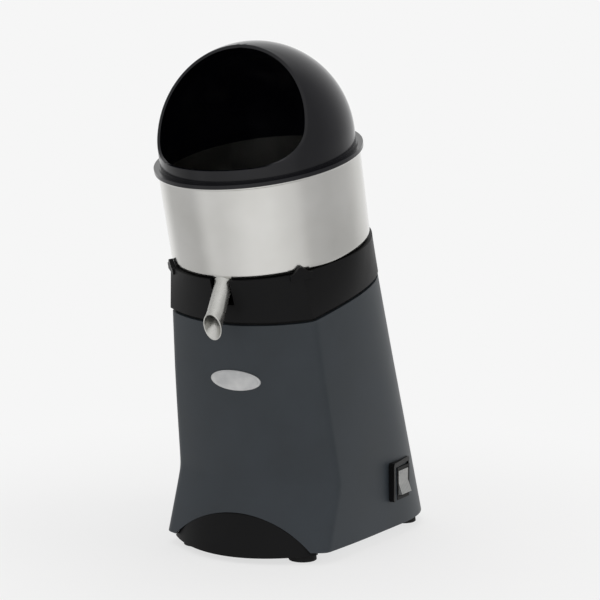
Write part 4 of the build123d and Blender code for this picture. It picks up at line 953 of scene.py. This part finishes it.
# ---------------------------------------------------------------- housing
@dataclass
class Housing:
    """The painted base: D-shaped levels, two flat-bowed creases in front, drawn in at a waist.

    Side, widest, rear and squareness are given at the foot and at the top edge, and the corner at the
    foot, the waist and the top. The holes are (middle, middle, half, half), the switch's in y and z,
    the inlet's in x and z, and they lie beyond an x and a y.
    """

    finish: bpy.types.Material
    foot_z: float = 11.2
    waist_z: float = 72.0
    top_up: float = -137.2
    corner: tuple[float, float, float] = (90.2, 90.2, 79.0)
    corner_y: tuple[float, float, float] = (-85.8, -62.4, -70.0)
    bulge: float = 22.8
    top_front: float = -93.0
    waist_softness: float = 1.4
    side: tuple[float, float] = (98.6, 91.0)
    widest: tuple[float, float] = (34.0, 8.0)
    rear: tuple[float, float] = (156.0, 98.0)
    squareness: tuple[float, float] = (3.4, 2.45)
    upper_bow: float = 1.5
    flank_share: float = 0.35
    bend_deg: tuple[float, float] = (30.0, 60.0)
    crease: float = 7.0
    side_length: float = 330.0
    side_places: tuple[float, float] = (0.03, 0.62)
    arch_half: float = 76.0
    arch_height: float = 30.4
    wall: float = 4.0
    lip: float = 3.0
    join_z: float = 60.0
    level_z: tuple[float, float] = (82.0, 177.0)
    aim_y: float = 20.0
    lid_middle: float = 5.0
    lid_steps: tuple[float, ...] = (0.0, 0.06, 0.14, 0.5, 0.98)
    switch_hole: tuple[float, float, float, float] = (57.2, 53.5, 11.8, 15.0)
    inlet_hole: tuple[float, float, float, float] = (0.0, 44.0, 15.5, 11.0)
    hole_sides: tuple[float, float] = (60.0, 100.0)
    front_y: float = -60.0

    def spot(self, x: float, across: float) -> np.ndarray:
        """A place on the top edge's plane, in millimetres."""
        return PRESS.world(x, across, self.top_up) / MM

    def line(self, low: np.ndarray, high: np.ndarray, z: np.ndarray) -> tuple[np.ndarray, np.ndarray]:
        """Where the straight line through two places is at a height, as x and y."""
        share = (z - low[2]) / (high[2] - low[2])
        return low[0] + (high[0] - low[0]) * share, low[1] + (high[1] - low[1]) * share

    def soft_min(self, first: np.ndarray, second: np.ndarray) -> np.ndarray:
        """The smaller of two values, the change-over rounded as the waist is."""
        return (first + second) / 2 - np.sqrt(((first - second) / 2) ** 2 + self.waist_softness**2)

    def rise(self, z: np.ndarray, foot: float) -> np.ndarray:
        """How far heights are from a foot towards the top edge's level, as a share."""
        return (z - foot) / (PRESS.origin[2] + self.top_up - foot)

    def power(self, z: np.ndarray) -> np.ndarray:
        """The rear bend's exponent at heights: 2 over a squareness that changes evenly with height."""
        low, high = self.squareness
        return 2 / (low + (high - low) * self.rise(z, self.foot_z))

    def low_line(self, z: np.ndarray, out: float) -> tuple[np.ndarray, np.ndarray]:
        """The x and y, at heights, of the line from foot to waist that lies so far out from the crease."""
        foot = np.array([self.corner[0], self.corner_y[0] - out, self.foot_z])
        return self.line(foot, np.array([self.corner[1], self.corner_y[1] - out, self.waist_z]), z)

    def high_line(self, z: np.ndarray, out: float, top: np.ndarray) -> tuple[np.ndarray, np.ndarray]:
        """The x and y, at heights, of the line from the waist, so far out from the crease, to the top."""
        return self.line(np.array([self.corner[1], self.corner_y[1] - out, self.waist_z]), top, z)

    def front_line(self, z: np.ndarray) -> tuple[np.ndarray, np.ndarray, np.ndarray]:
        """The front's lines, each the smaller of two slopes, with the waist rounded between them.

        Args:
            z: heights.

        Returns:
            The crease's x and y and the middle's y.
        """
        low_x, low_y = self.low_line(z, 0.0)
        high_x, high_y = self.high_line(z, 0.0, self.spot(self.corner[2], self.corner_y[2]))
        _, low_front = self.low_line(z, self.bulge)
        _, high_front = self.high_line(z, self.bulge, self.spot(0.0, self.top_front))
        bow = self.upper_bow * np.sin(math.pi * np.clip(self.rise(z, self.waist_z), 0, 1))
        crease_y = self.soft_min(low_y, high_y) - bow
        return np.minimum(low_x, high_x), crease_y, self.soft_min(low_front, high_front)

    def flank(
        self, corner: np.ndarray, half: np.ndarray, at: np.ndarray, rear: np.ndarray, power: np.ndarray
    ) -> np.ndarray:
        """The right side's curve: a cubic through the crease, the flank, the widest place and the rear bend.

        Args:
            corner: the crease's (x, y) per row.
            half: half the width per row.
            at: where it is widest, per row.
            rear: the rear's y, per row.
            power: the bend's exponent, per row.

        Returns:
            Points (rows, places, 2), from beside the crease to the rear.
        """
        bend = [
            np.stack([half * math.cos(a) ** power, at + (rear - at) * math.sin(a) ** power], -1)
            for a in map(math.radians, self.bend_deg)
        ]
        side = np.stack([half - (half - corner[:, 0]) * self.flank_share, (corner[:, 1] + at) / 2], -1)
        knots = np.stack([corner, side, np.stack([half, at], -1), *bend], 1)
        last = np.stack([np.zeros_like(rear), rear], -1)[:, None]
        knots = np.concatenate([knots, last, knots[:, ::-1] * np.array([-1, 1])], 1)
        near, far = self.side_places
        places = [[self.crease / self.side_length], np.linspace(near, far, 92), np.linspace(far, 1, 40)[1:]]
        return spline(knots, np.concatenate(places))

    def columns(self) -> np.ndarray:
        """Places across the front, with one at each end of the arch.

        Returns:
            The places, as shares of the crease's x.
        """
        end, arch = 1 - self.crease / self.corner[0], self.arch_half / self.corner[0]
        side = np.linspace(arch, end, 7)[1:]
        return np.concatenate([-side[::-1], np.linspace(-arch, arch, 57), side])

    def arch(self, x: np.ndarray) -> np.ndarray:
        """The height of the skin's lower edge: the arch's circle in the middle, the foot beside it.

        Args:
            x: places across.

        Returns:
            The height at each place.
        """
        radius = (self.arch_half**2 + self.arch_height**2) / (2 * self.arch_height)
        circle = np.sqrt(np.maximum(radius**2 - x**2, 0)) - radius + self.arch_height
        return self.foot_z + np.where(np.abs(x) < self.arch_half, circle, 0.0)

    def front(self, share: np.ndarray, z: np.ndarray) -> np.ndarray:
        """Places on the bowed front.

        Args:
            share: x as a share of the crease's x.
            z: heights.

        Returns:
            Points in millimetres.
        """
        corner_x, corner_y, middle = self.front_line(z)
        x = share * corner_x
        return np.stack([x, bowed(x, corner_x, corner_y, middle), z], -1)

    def walls(self) -> np.ndarray:
        """The level rows, from the foot up to where the slant begins.

        Returns:
            Points (rows, columns, 3) in millimetres.
        """
        low, high = self.level_z
        z = np.concatenate([np.linspace(self.foot_z, low, 34), np.linspace(low, high, 26)[1:]])
        share, up = self.columns(), z[:, None]
        floor = self.arch(share * self.corner[0])
        lifted = floor + (up - self.foot_z) * (self.join_z - floor) / (self.join_z - self.foot_z)
        front = self.front(share, np.where(up < self.join_z, lifted, up))
        corner_x, corner_y, _ = self.front_line(z)
        foot_side = np.array([self.side[0], self.widest[0], self.foot_z])
        half, at = self.line(foot_side, self.spot(self.side[1], self.widest[1]), z)
        _, rear = self.line(np.array([0, self.rear[0], self.foot_z]), self.spot(0.0, self.rear[1]), z)
        side = self.flank(np.stack([corner_x, corner_y], -1), half, at, rear, self.power(z))
        side = np.concatenate([side, np.broadcast_to(z[:, None, None], (*side.shape[:2], 1))], -1)
        return self.join_round(front, side, np.stack([corner_x, corner_y, z], -1)[:, None])

    def top_edge(self) -> np.ndarray:
        """The top edge, square to the press axis.

        Returns:
            Its row of points (1, columns, 3) in millimetres.
        """
        corner = np.array([[self.corner[2], self.corner_y[2]]])
        half, at, rear = (np.array([pair[1]]) for pair in (self.side, self.widest, self.rear))
        side = self.flank(corner, half, at, rear, self.power(self.spot(0.0, 0.0)[2:]))[0]
        x = self.columns() * self.corner[2]
        front = np.stack([x, bowed(x, self.corner[2], self.corner_y[2], self.top_front)], -1)
        return self.join_round(*(self.spot(p[:, 0], p[:, 1])[None] for p in (front, side, corner)))

    def skin(self) -> np.ndarray:
        """The outer skin, straight from the walls' last row to the top edge.

        Returns:
            Points (rows, columns, 3) in millimetres, from foot to top and right round from the front's
            left, the first column repeated last.
        """
        walls = self.walls()
        slant = np.linspace(0, 1, 24)[1:, None, None]
        return np.concatenate([walls, walls[-1:] + (self.top_edge() - walls[-1:]) * slant])

    def join_round(self, front: np.ndarray, side: np.ndarray, crest: np.ndarray) -> np.ndarray:
        """Joins the front and both sides, a small curve through each crease, bent by its crest.

        Args:
            front: the front's points.
            side: the right side's points.
            crest: the sharp crease's points.

        Returns:
            The closed rows of points.
        """
        share = np.linspace(0, 1, 7)[1:-1][:, None]
        mirror = np.array([-1, 1, 1])

        def bend(a: np.ndarray, b: np.ndarray, c: np.ndarray) -> np.ndarray:
            """The curve from a to c that leaves and arrives along the lines to b."""
            return a * (1 - share) ** 2 + 2 * b * share * (1 - share) + c * share**2

        right = bend(front[:, -1:], crest, side[:, :1])
        left = bend(side[:, :1] * mirror, crest * mirror, front[:, :1])
        far = side[:, ::-1] * mirror
        return np.concatenate([front, right, side, far[:, 1:], left, front[:, :1]], 1)

    def openings(self, skin: np.ndarray) -> np.ndarray:
        """Which quads stay: those outside the switch's and the inlet's holes, hidden by their flanges.

        Args:
            skin: the skin's points.

        Returns:
            True for each quad that stays.
        """
        x, y, z = np.moveaxis((skin[:-1, :-1] + skin[1:, 1:]) / 2, -1, 0)
        gone = np.zeros(x.shape, bool)
        flank, rear = x > self.hole_sides[0], y > self.hole_sides[1]
        for flat, hole, facing in ((y, self.switch_hole, flank), (x, self.inlet_hole, rear)):
            gone |= facing & (np.abs(flat - hole[0]) < hole[2]) & (np.abs(z - hole[1]) < hole[3])
        return ~gone

    def build(self) -> None:
        """Builds the housing's skin, its foot turned in and its lid drawn in towards a point."""
        skin = self.skin()
        shell = Surface()
        shell.add(skin * MM, keep=self.openings(skin))
        foot = skin[0]
        inward = np.array([0.0, self.aim_y, 0.0]) - foot * np.array([1, 1, 0])
        inward /= np.linalg.norm(inward, axis=-1, keepdims=True)
        under_arch = (np.abs(foot[:, 0]) <= self.arch_half + 0.01) & (foot[:, 1] < self.front_y)
        turned = foot + np.where(under_arch[:, None], np.array([0.0, 1.0, 0.0]), inward) * self.wall
        shell.add(np.stack([foot, turned, turned + np.array([0, 0, self.lip])]) * MM)
        steps = np.array(self.lid_steps)[:, None, None]
        shell.add((skin[-1] + (self.spot(0.0, self.lid_middle) - skin[-1]) * steps) * MM)
        label = Label("housing_skin", Body.BASE, "housing_shell", "slate_paint")
        shell.build(label, self.finish, sharp_deg=45.0, easing=Easing(0.9, angle_deg=50.0))


@dataclass
class Plinth:
    """The black front plinth under the housing's arch, bowed forward and left bare."""

    finish: bpy.types.Material
    housing: Housing
    half: float = 79.0
    foot_z: float = 5.0
    top_z: float = 45.6
    shell: float = 3.4
    gap: float = 0.15
    recess: float = 2.5
    foot_arc: tuple[float, float] = (-90.5, -121.0)
    end_rise: float = 3.0

    def face(self, x: np.ndarray, z: np.ndarray) -> np.ndarray:
        """The face's y: straight between the foot's arc and the arc behind the housing's front.

        Args:
            x: places across.
            z: heights.

        Returns:
            The y at each place.
        """
        arch_half = self.housing.arch_half
        middle = self.housing.low_line(self.top_z, self.housing.bulge)[1] + self.recess
        drop = bowed(arch_half, self.housing.corner[0], self.housing.bulge, 0.0)
        share = (z - self.foot_z) / (self.top_z - self.foot_z)
        foot = bowed(x, arch_half, *self.foot_arc)
        return foot * (1 - share) + bowed(x, arch_half, middle + drop, middle) * share

    def build(self) -> None:
        """Builds the plinth as a closed shell: face, back and the edges between."""
        x = self.half * np.linspace(-1, 1, 97)
        crown = self.housing.arch(x) - self.gap
        foot = self.foot_z + self.end_rise * (x / self.half) ** 2
        z = foot + (crown - foot) * np.linspace(0, 1, 22)[:, None]
        face = np.stack([np.broadcast_to(x, z.shape), self.face(x, z), z], -1)
        back = face + np.array([0.0, self.shell, 0.0])
        shell = Surface()
        shell.add(face * MM)
        shell.add(back * MM)
        for rim in (np.s_[0], np.s_[-1], np.s_[:, 0], np.s_[:, -1]):
            shell.add(np.stack([face[rim], (face[rim] + back[rim]) / 2, back[rim]]) * MM)
        label = Label("front_plinth_shell", Body.BASE, "front_plinth", "black_plastic")
        shell.build(label, self.finish, easing=Easing(1.0, segments=3))


@dataclass
class Badge:
    """The bare oval plate: a shallow crown inside a raised rim, laid on the bowed front.

    Each ring is given by its share of the oval's size and by its height over the paint.
    """

    finish: bpy.types.Material
    housing: Housing
    size: tuple[float, float] = (55.0, 20.0)
    z: float = 171.6
    rings: tuple[tuple[float, float], ...] = (
        (0.0, 0.8), (0.2, 0.79), (0.4, 0.76), (0.6, 0.71), (0.75, 0.65), (0.84, 0.62), (0.875, 0.72),
        (0.9, 0.98), (0.93, 1.16), (0.96, 1.2), (0.985, 1.05), (0.997, 0.75), (1.0, 0.05),
    )

    def build(self) -> None:
        """Builds the badge in rings that grow from its middle to its edge."""
        share, high = np.array(self.rings).T[:, :, None]
        turn = np.linspace(0, 2 * math.pi, 129)
        x = share * np.cos(turn) * self.size[0] / 2
        z = self.z + share * np.sin(turn) * self.size[1] / 2
        spots = self.housing.front(x / self.housing.front_line(z)[0], z)
        spots[..., 1] -= high
        shell = Surface()
        shell.add(spots * MM)
        label = Label("badge_plate_oval", Body.BASE, "badge_plate", "badge_metal")
        shell.build(label, self.finish, sharp_deg=60.0)


@dataclass
class SwitchHood:
    """The frame round the switch: proud of the flank at its front and run out nearly flush at its rear."""

    finish: bpy.types.Material
    flank: float = 95.6
    front_y: float = 28.0
    rear_y: float = 73.0
    run_out: float = 0.78

    def draw_in(self, spots: np.ndarray) -> np.ndarray:
        """Moves points outside the flank towards it, by a share that grows evenly to the rear.

        Args:
            spots: points in metres.

        Returns:
            The moved points.
        """
        proud = np.maximum(spots[:, 0] - self.flank * MM, 0)
        share = np.clip((spots[:, 1] / MM - self.front_y) / (self.rear_y - self.front_y), 0, 1)
        spots[:, 0] -= proud * self.run_out * share
        return spots

    def build(self) -> None:
        """Builds the frame from the CAD frame's mesh, drawn in towards the rear."""
        label = Label("switch_hood_moulding", Body.BASE, "switch_hood")
        eased_copy(label, self.finish, 0.5, self.draw_in)


@dataclass
class Rocker:
    """The switch's rocker, its face cut by upright grip ribs, resting with its top end in.

    The ribs' margin and fade, along the face and across it, are shares of half its size.
    """

    finish: bpy.types.Material
    pivot: tuple[float, float, float] = (95.7, 57.2, 53.5)
    width: float = 20.8
    height: float = 26.0
    throw_deg: float = 20.0
    face: float = 3.0
    back: float = 3.0
    back_share: float = 0.97
    ribs: int = 7
    rib_depth: float = 0.45
    margin: tuple[float, float] = (0.94, 0.9)
    fade: tuple[float, float] = (0.06, 0.05)

    def grip(self, along: np.ndarray, way: int) -> np.ndarray:
        """How deep the ribs are cut at places along the face (0) or across it (1), as a share."""
        return np.clip((self.margin[way] - np.abs(along)) / self.fade[way], 0, 1)

    def build(self) -> None:
        """Builds the rocker.

        Its side outline is two flats that meet at the pivot's height, closed by a circle at each end,
        and its face is drawn in between ribs by a cosine across the width.
        """
        half, tilt = self.height / 2, math.radians(self.throw_deg / 2)
        along = np.linspace(-1, 1, 33)
        out = self.face + half * math.sin(tilt) * np.abs(along)
        reach = half * along * np.sqrt(np.clip(1 - (out * np.abs(along) ** 8 / half) ** 2, 0, 1))
        front = np.stack([out, reach], -1)
        rear = np.stack([np.full(5, -self.back), np.linspace(half, -half, 5) * self.back_share], -1)
        outline = np.concatenate([front, rear, front[:1]])
        across = np.linspace(-1, 1, 113)
        wave = 0.5 - 0.5 * np.cos(across * math.pi * self.ribs)
        cut = np.zeros((len(outline), 1))
        cut[: along.size, 0] = self.grip(along, 0)
        local = outline[:, :1] - self.rib_depth * cut * wave * self.grip(across, 1)
        high = np.broadcast_to(outline[:, 1:], local.shape)
        x = self.pivot[0] + local * math.cos(tilt) - high * math.sin(tilt)
        z = self.pivot[2] + local * math.sin(tilt) + high * math.cos(tilt)
        y = np.broadcast_to(self.pivot[1] + across * self.width / 2, x.shape)
        shell = Surface()
        grid = np.stack([x, y, z], -1) * MM
        shell.add(grid)
        for ring in (grid[:, 0], grid[:, -1]):
            shell.add(ring + (ring.mean(0) - ring) * np.array([0.0, 0.5, 1.0])[:, None, None])
        label = Label("switch_rocker_ribbed", Body.ROCKER, "switch_rocker", "grey_plastic")
        shell.build(label, self.finish, easing=Easing(0.3, angle_deg=50.0))


@dataclass
class Feet:
    """Four round rubber feet, wider at the floor, with a screw's well underneath."""

    finish: bpy.types.Material
    places: tuple[tuple[float, float], ...] = ((59.4, -77.8), (-59.4, -77.8), (73.4, 107.0), (-73.4, 107.0))
    radius: float = 13.6
    top_radius: float = 12.4
    height: float = 11.7
    well: tuple[float, float] = (4.9, 6.0)
    pole: float = 0.01

    def build(self) -> None:
        """Builds the feet, each one section turned round its own axis."""
        well, deep = self.well
        profile = rounded([
            (self.pole, deep, 0), (well, deep, 0.3), (well, 0.0, 0.4), (self.radius, 0.0, 0.8),
            (self.top_radius, self.height, 0.3), (self.pole, self.height, 0),
        ])
        shell = Surface()
        for x, y in self.places:
            shell.turn(profile, Axes((x, y, 0.0)), sides=72)
        shell.build(Label("rubber_feet_moulded", Body.BASE, "rubber_feet", "black_rubber"), self.finish)


@dataclass
class Squeezer:
    """The pressing cone: eight soft ribs on a pointed dome, over a disc with a short skirt."""

    finish: bpy.types.Material
    base_radius: float = 34.0
    base_up: float = -66.0
    base_thickness: float = 3.0
    tip_up: float = -12.0
    cone_radius: float = 28.0
    ribs: int = 8
    proud: float = 4.0
    hole: float = 20.0
    skirt: tuple[float, float] = (19.0, 17.0)
    skirt_length: float = 10.0

    def build(self) -> None:
        """Builds the cone.

        The radius is a rounded spike's, plus each rib's share: the cosine of the turn raised to a power,
        so that ribs are narrow and the hollows between them wide.
        """
        foot_up = self.base_up + self.base_thickness
        share = np.linspace(0, 1, 40)[:, None]
        turn = np.linspace(0, 2 * math.pi, 257)
        up = self.tip_up - (self.tip_up - foot_up) * share**1.25
        rib = self.proud * np.abs(np.cos(turn * self.ribs / 2)) ** 6 * np.sqrt(share) * share**0.3
        radius = self.cone_radius * np.sin(share * math.pi / 2) ** 0.9 + rib
        shell = Surface()
        shell.add(PRESS.ring(radius, turn, up))
        outer, inner = self.skirt
        skirt_up = self.base_up - self.skirt_length
        disc = rounded([
            (self.hole, foot_up, 0), (self.base_radius, foot_up, 0.8), (self.base_radius, self.base_up, 0.8),
            (outer, self.base_up, 0), (outer, skirt_up, 0.5), (inner, skirt_up, 0.5),
            (inner, self.base_up + 1, 0),
        ])
        shell.turn(disc, PRESS, sides=128)
        label = Label("squeezer_cone_ribbed", Body.SQUEEZER, "squeezer_cone", "black_squeezer")
        shell.build(label, self.finish)


# ---------------------------------------------------------------- studio
@dataclass
class Studio:
    """Camera, pale floor and the soft lights round the machine.

    The room is what gloss sees: its level by the angle round the machine from the camera's side.
    Lengths here are in metres, but the lens is in millimetres.
    """

    camera_at: tuple[float, float, float] = (0.9369, -1.6251, 0.4749)
    azimuth_deg: float = 29.64
    pitch_deg: float = 7.234
    lens: float = 114.75
    even: float = 0.6
    room: tuple[tuple[float, float], ...] = (
        (-180, 1.0), (-150, 0.95), (-132, 0.66), (-90, 0.62), (-74, 0.86), (-55, 0.82), (-17, 1.0),
        (10, 1.0), (42, 0.84), (54, 0.64), (80, 0.57), (112, 0.61), (138, 0.86), (180, 1.0),
    )
    room_level: float = 1.03
    target: tuple[float, float, float] = (0.0, 0.0, 0.24)
    floor_radius: float = 1.6
    floor_z: float = -0.0002
    fade_from: float = 0.16
    fade_to: float = 0.62
    fade_least: float = 0.72

    def way(self, turn_deg: float, height_deg: float) -> Vector:
        """The direction that is turned to the right from the camera's side, at a height."""
        az, el = math.radians(self.azimuth_deg + turn_deg), math.radians(height_deg)
        return Vector((math.sin(az) * math.cos(el), -math.cos(az) * math.cos(el), math.sin(el)))

    def camera(self) -> None:
        """Sets the scene's camera at its place."""
        back, right = self.way(0.0, self.pitch_deg), self.way(90.0, 0.0)
        data = bpy.data.cameras.new("camera")
        data.lens, data.sensor_width = self.lens, 36.0
        data.clip_start, data.clip_end = 0.05, 50.0
        made = bpy.data.objects.new("camera", data)
        turn = Matrix((right, back.cross(right), back)).transposed().to_4x4()
        made.matrix_world = Matrix.Translation(self.camera_at) @ turn
        bpy.context.scene.collection.objects.link(made)
        bpy.context.scene.camera = made

    def floor(self) -> None:
        """Adds the pale floor, a disc that fades into the white round it and keeps a faint shadow."""
        turn, radius = np.linspace(0, 2 * math.pi, 97), np.linspace(0, self.floor_radius, 40)[:, None]
        x, y = radius * np.cos(turn), radius * np.sin(turn)
        spots = np.stack([x, y, np.full(x.shape, self.floor_z)], -1)
        mesh = bpy.data.meshes.new("floor")
        quads = grid_quads(*x.shape).reshape(-1, 4)[:, ::-1]
        mesh.from_pydata(spots.reshape(-1, 3).tolist(), [], quads.tolist())
        made = bpy.data.objects.new("floor", mesh)
        bpy.context.scene.collection.objects.link(made)
        made.visible_glossy = False
        paint = bpy.data.materials.new("studio_floor_paper")
        tree = fresh_tree(paint)
        place = add_node(tree, "TexCoord").outputs["Object"]
        far = add_node(tree, "VectorMath", {0: place}, operation="LENGTH").outputs["Value"]
        span = {"From Min": self.fade_from, "From Max": self.fade_to, "To Min": self.fade_least}
        fade = add_node(tree, "MapRange", {"Value": far, **span}, interpolation_type="SMOOTHSTEP")
        seen = add_node(tree, "LightPath").outputs["Is Camera Ray"]
        share = add_node(tree, "Math", {0: fade, 1: seen}, operation="MULTIPLY")
        matt = add_node(tree, "BsdfDiffuse", {"Color": PAPER})
        white = add_node(tree, "Emission", {"Color": BACKDROP, "Strength": 1.0})
        mixed = add_node(tree, "MixShader", {0: share, 1: matt, 2: white})
        add_node(tree, "OutputMaterial", {"Surface": mixed})
        mesh.materials.append(paint)

    def panel(
        self,
        name: str,
        turn_deg: float,
        height_deg: float,
        away: float,
        size: tuple[float, float],
        level: float,
        tint: tuple[float, float, float] = (1.0, 1.0, 1.0),
    ) -> None:
        """Adds a soft light panel that looks at the machine.

        Args:
            name: its name.
            turn_deg: where it stands, turned to the right from the camera's side.
            height_deg: how high it stands.
            away: its distance in metres.
            size: its width and height in metres.
            level: its brightness, 1 being white.
            tint: its colour.
        """
        data = bpy.data.lights.new(name, "AREA")
        data.shape, data.size, data.size_y = "RECTANGLE", *size
        data.energy = level * math.pi * size[0] * size[1]
        data.color = tint
        made = bpy.data.objects.new(name, data)
        way = self.way(turn_deg, height_deg)
        made.location = Vector(self.target) + way * away
        made.rotation_euler = way.to_track_quat("Z", "Y").to_euler()
        made.visible_glossy = False
        bpy.context.scene.collection.objects.link(made)

    def surroundings(self) -> None:
        """Sets the pale backdrop, the even room that lights the machine and the room its gloss shows."""
        world = bpy.data.worlds.new("studio")
        bpy.context.scene.world = world
        tree = fresh_tree(world)
        ray = add_node(tree, "TexCoord").outputs["Generated"]
        right, back = (
            add_node(tree, "VectorMath", {0: ray, 1: self.way(turn, 0.0)}, operation="DOT_PRODUCT")
            for turn in (90.0, 0.0)
        )
        sides = {0: right.outputs["Value"], 1: back.outputs["Value"]}
        turn = add_node(tree, "Math", sides, operation="ARCTAN2")
        share = add_node(tree, "MapRange", {"Value": turn, "From Min": -math.pi, "From Max": math.pi})
        ramp = add_node(tree, "ValToRGB", {"Fac": share})
        stops = ramp.color_ramp.elements
        for angle, level in self.room:
            place = angle / 360 + 0.5
            stop = stops[0] if place == 0 else stops[-1] if place == 1 else stops.new(place)
            stop.color = (level, level, level, 1.0)
        shown = add_node(tree, "Background", {"Color": ramp, "Strength": self.room_level})
        lit = add_node(tree, "Background", {"Color": WHITE, "Strength": self.even})
        pale = add_node(tree, "Background", {"Color": BACKDROP, "Strength": 1.0})
        path = add_node(tree, "LightPath").outputs
        room = add_node(tree, "MixShader", {0: path["Is Glossy Ray"], 1: lit, 2: shown})
        mixed = add_node(tree, "MixShader", {0: path["Is Camera Ray"], 1: room, 2: pale})
        add_node(tree, "OutputWorld", {"Surface": mixed})

    def build(self) -> None:
        """Sets up the whole studio."""
        self.camera()
        self.floor()
        self.surroundings()
        self.panel("left_window", -48.0, 22.0, 2.2, (1.2, 1.4), 0.9)
        self.panel("right_window", 78.0, 18.0, 2.2, (1.2, 1.4), 2.3, (1.0, 0.94, 0.88))
        self.panel("overhead", 180.0, 72.0, 1.8, (1.6, 1.2), 1.4)
        bpy.context.scene.view_settings.view_transform = "Standard"


def main() -> None:
    """Builds every piece in order, from the guard and bowl down to the small parts, then the studio."""
    logging.basicConfig(level=logging.INFO, format="%(message)s")
    steel, paint, satin = STEEL.material(), PAINT.material(), SATIN_BLACK.material()
    shaded, inside_shade = SHADED_STEEL.material(), INSIDE_SHADE_STEEL.material()
    SplashGuard(GLOSS_BLACK.material(), PAINTED_SHADE_BLACK.material()).build()
    # The bowl's inside and the strainer take steel drawn darker as painted shade.
    bowl = JuiceBowl(steel, inside_shade)
    bowl.build()
    SpoutTube(TUBE_STEEL.material(), shaded, bowl).build()
    housing = Housing(paint)
    housing.build()
    Plinth(satin, housing).build()
    Badge(BADGE.material(), housing).build()
    Rocker(ROCKER_GREY.material()).build()
    Feet(RUBBER.material()).build()
    Squeezer(SQUEEZER_BLACK.material()).build()
    eased_copy(Label("top_collar_moulding", Body.BASE, "top_collar"), satin)
    SwitchHood(satin).build()
    eased_copy(Label("switch_body_moulding", Body.BASE, "switch_body"), satin)
    eased_copy(Label("power_inlet_moulding", Body.BASE, "power_inlet"), satin)
    # The strainer takes the same darker steel, painted shade.
    dress("strainer_basket", inside_shade)
    for finish, names in HIDDEN:
        dress(names, finish.material())
    Studio().build()


if __name__ == "__main__":
    main()
